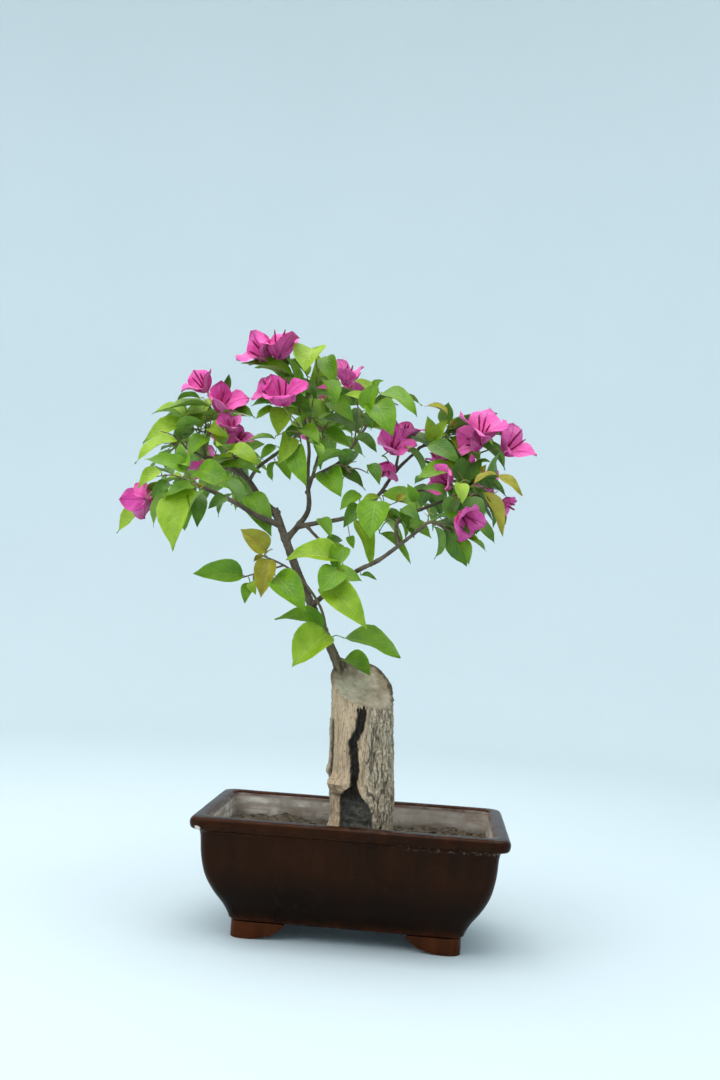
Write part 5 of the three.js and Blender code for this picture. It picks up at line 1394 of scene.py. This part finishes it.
# Blossom: each flower is three papery, veined bracts round one base, magenta to pink, with three
# slender crimson tubes inside them that stand against the bracts' midribs.
bract_rows = np.array((0, 0.06, 0.14, 0.24, 0.36, 0.48, 0.6, 0.72, 0.83, 0.92, 1.0))
bract_halves = np.array((0.09, 0.18, 0.28, 0.375, 0.44, 0.465, 0.455, 0.4, 0.3, 0.165, 0.01))
bract_columns = np.array((-1, -0.75, -0.5, -0.25, 0, 0.25, 0.5, 0.75, 1.0))
bract_thick = 0.12
bract_row, bract_column, bract_marks, bract_skin, bract_cells = blade_grid(
    bract_rows, bract_columns, bract_thick)
base_lean, open_least, open_more, bract_seat = math.radians(20), 34, 36, 0.012
tube_radii = (0.8, 1.2, 0.9, 0.9, 1.3, 0.5)
bracts, tubes = Heap(), Heap()
for seat, axis, first, size, keys in flowers:
    across = unit(first - axis * np.dot(first, axis))
    for bract in range(3):
        own = (keys[0], keys[1] + 0.37 * bract, keys[2])
        tone = int(3 * chance(*own, 9))
        outward = turned_about(across, axis, bract * 2 * math.pi / 3 + 0.4 * (chance(*own, 14) - 0.5))
        side = np.cross(axis, outward)
        length = bract_length * size * (0.9 + 0.18 * chance(*own, 7))
        opened = math.radians(open_least + open_more * chance(*own, 10))
        phase = full_turn * chance(*own, 12)
        lean = base_lean + (opened - base_lean) * bract_rows ** 0.8
        lean += (0.2 + 1.2 * chance(*own, 15)) * np.maximum(bract_rows - 0.7, 0)
        steps = np.diff(bract_rows, prepend=0) * length
        rib = (seat + np.outer(bract_seat * length + np.cumsum(np.sin(lean) * steps), outward)
               + np.outer(np.cumsum(np.cos(lean) * steps), axis))[:, None]
        outer = (np.outer(np.cos(lean), outward) - np.outer(np.sin(lean), axis))[:, None]
        half = length * (0.84 + 0.18 * chance(*own, 16)) * np.interp(bract_row, bract_rows, bract_halves)
        half = half * bract_column
        cup = (-0.8 + 0.9 * bract_row) * half ** 2 / length
        edge = np.abs(bract_column)
        crinkle = length * (0.075 * np.sin(bract_row * 9 + phase + bract_column * 2.5) * edge ** 1.5
                            + 0.022 * np.sin(bract_row * 15 + 3 * phase + bract_column) * edge ** 3
                            + 0.018 * np.sin(bract_column * 9 + phase * 2) * bract_row)
        spots = rib + half[..., None] * side + (cup + crinkle)[..., None] * outer
        skin = bract_skin * outer
        bracts.add((spots + skin).reshape(-1, 3), bract_cells, tone, bract_marks)
        bracts.add((spots - skin).reshape(-1, 3), bract_cells[:, (0, 3, 2, 1)], tone, bract_marks)
        foot = seat + axis * length * 0.06 + outward * length * 0.04
        knee = seat + axis * length * 0.36 + outward * length * 0.1
        end = seat + axis * length * (0.55 + 0.42 * chance(*own, 13)) + outward * length * 0.17
        add_tube(tubes, Bend((foot, knee, end)), tube_radii, 6, 7, 0)

bract_finishes = []
for name, colour_low, colour_high, vein in (
        ("bract_magenta", (238, 84, 174), (247, 114, 192), (202, 46, 136)),
        ("bract_pink", (242, 100, 182), (249, 134, 200), (210, 62, 146)),
        ("bract_deep", (228, 70, 164), (242, 100, 182), (188, 36, 124))):
    finish, shade, place = new_finish(name)
    run, off_rib = on_blade(shade)
    mottle = grain(place, 0.01, 3)
    rib = off_rib.step(0.03, 0.008)
    side_veins = from_vein(run - off_rib * 0.9 + mottle * 0.12).step(0.14, 0.0)
    net = abs(grain(place, 0.0035, 2) - 0.5).step(0.04, 0.0)
    veins = rib * 0.6 + side_veins * 0.35 + net * 0.18
    colour = blend(mottle.step(0.3, 0.7), tint(*colour_low), tint(*colour_high))
    colour = blend(run.step(0.3, 0.0) * 0.35, colour, tint(*vein))
    colour = blend(veins, colour, tint(*vein))
    coat(shade, colour, 0.62, veins * -0.6 + mottle * 0.8, 0.0016, Specular_IOR_Level=0.2, Sheen_Weight=0.12)
    bract_finishes.append(finish)
blossom = bracts.joined("bracts", bract_finishes)
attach(blossom, "root")
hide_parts(*masses)

crimson_tube, shade, place = new_finish("crimson_tube")
mottle = grain(place, 0.004, 3)
coat(shade, blend(mottle.step(0.35, 0.65), tint(112, 18, 62), tint(150, 34, 88)), 0.55, mottle, 0.0004)
flower_tubes = tubes.joined("flower_tubes", [crimson_tube])
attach(flower_tubes, "root")
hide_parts(*masses)

# Twig bark: the older twigs have a thin brown skin, this year's shoots and the leaf stalks a green one.
# All the stems that were grown and hung above are gathered here into one piece.
brown_twig, shade, place = new_finish("brown_twig")
patches = grain(place, 0.008, 4, 0.6)
fine = grain(place, 0.0012, 3, 0.6)
colour = blend(patches.step(0.3, 0.7), tint(98, 80, 62), tint(122, 106, 78))
coat(shade, blend(fine.step(0.55, 0.7) * 0.5, colour, tint(150, 134, 110)), 0.75, fine, 0.0006)
green_shoot, shade, place = new_finish("green_shoot")
patches = grain(place, 0.01, 3)
coat(shade, blend(patches.step(0.3, 0.7), tint(112, 138, 52), tint(136, 132, 66)), 0.6, patches, 0.0004)
stems = twigs.joined("twigs", [brown_twig, green_shoot])
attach(stems, "root")
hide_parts(*masses)
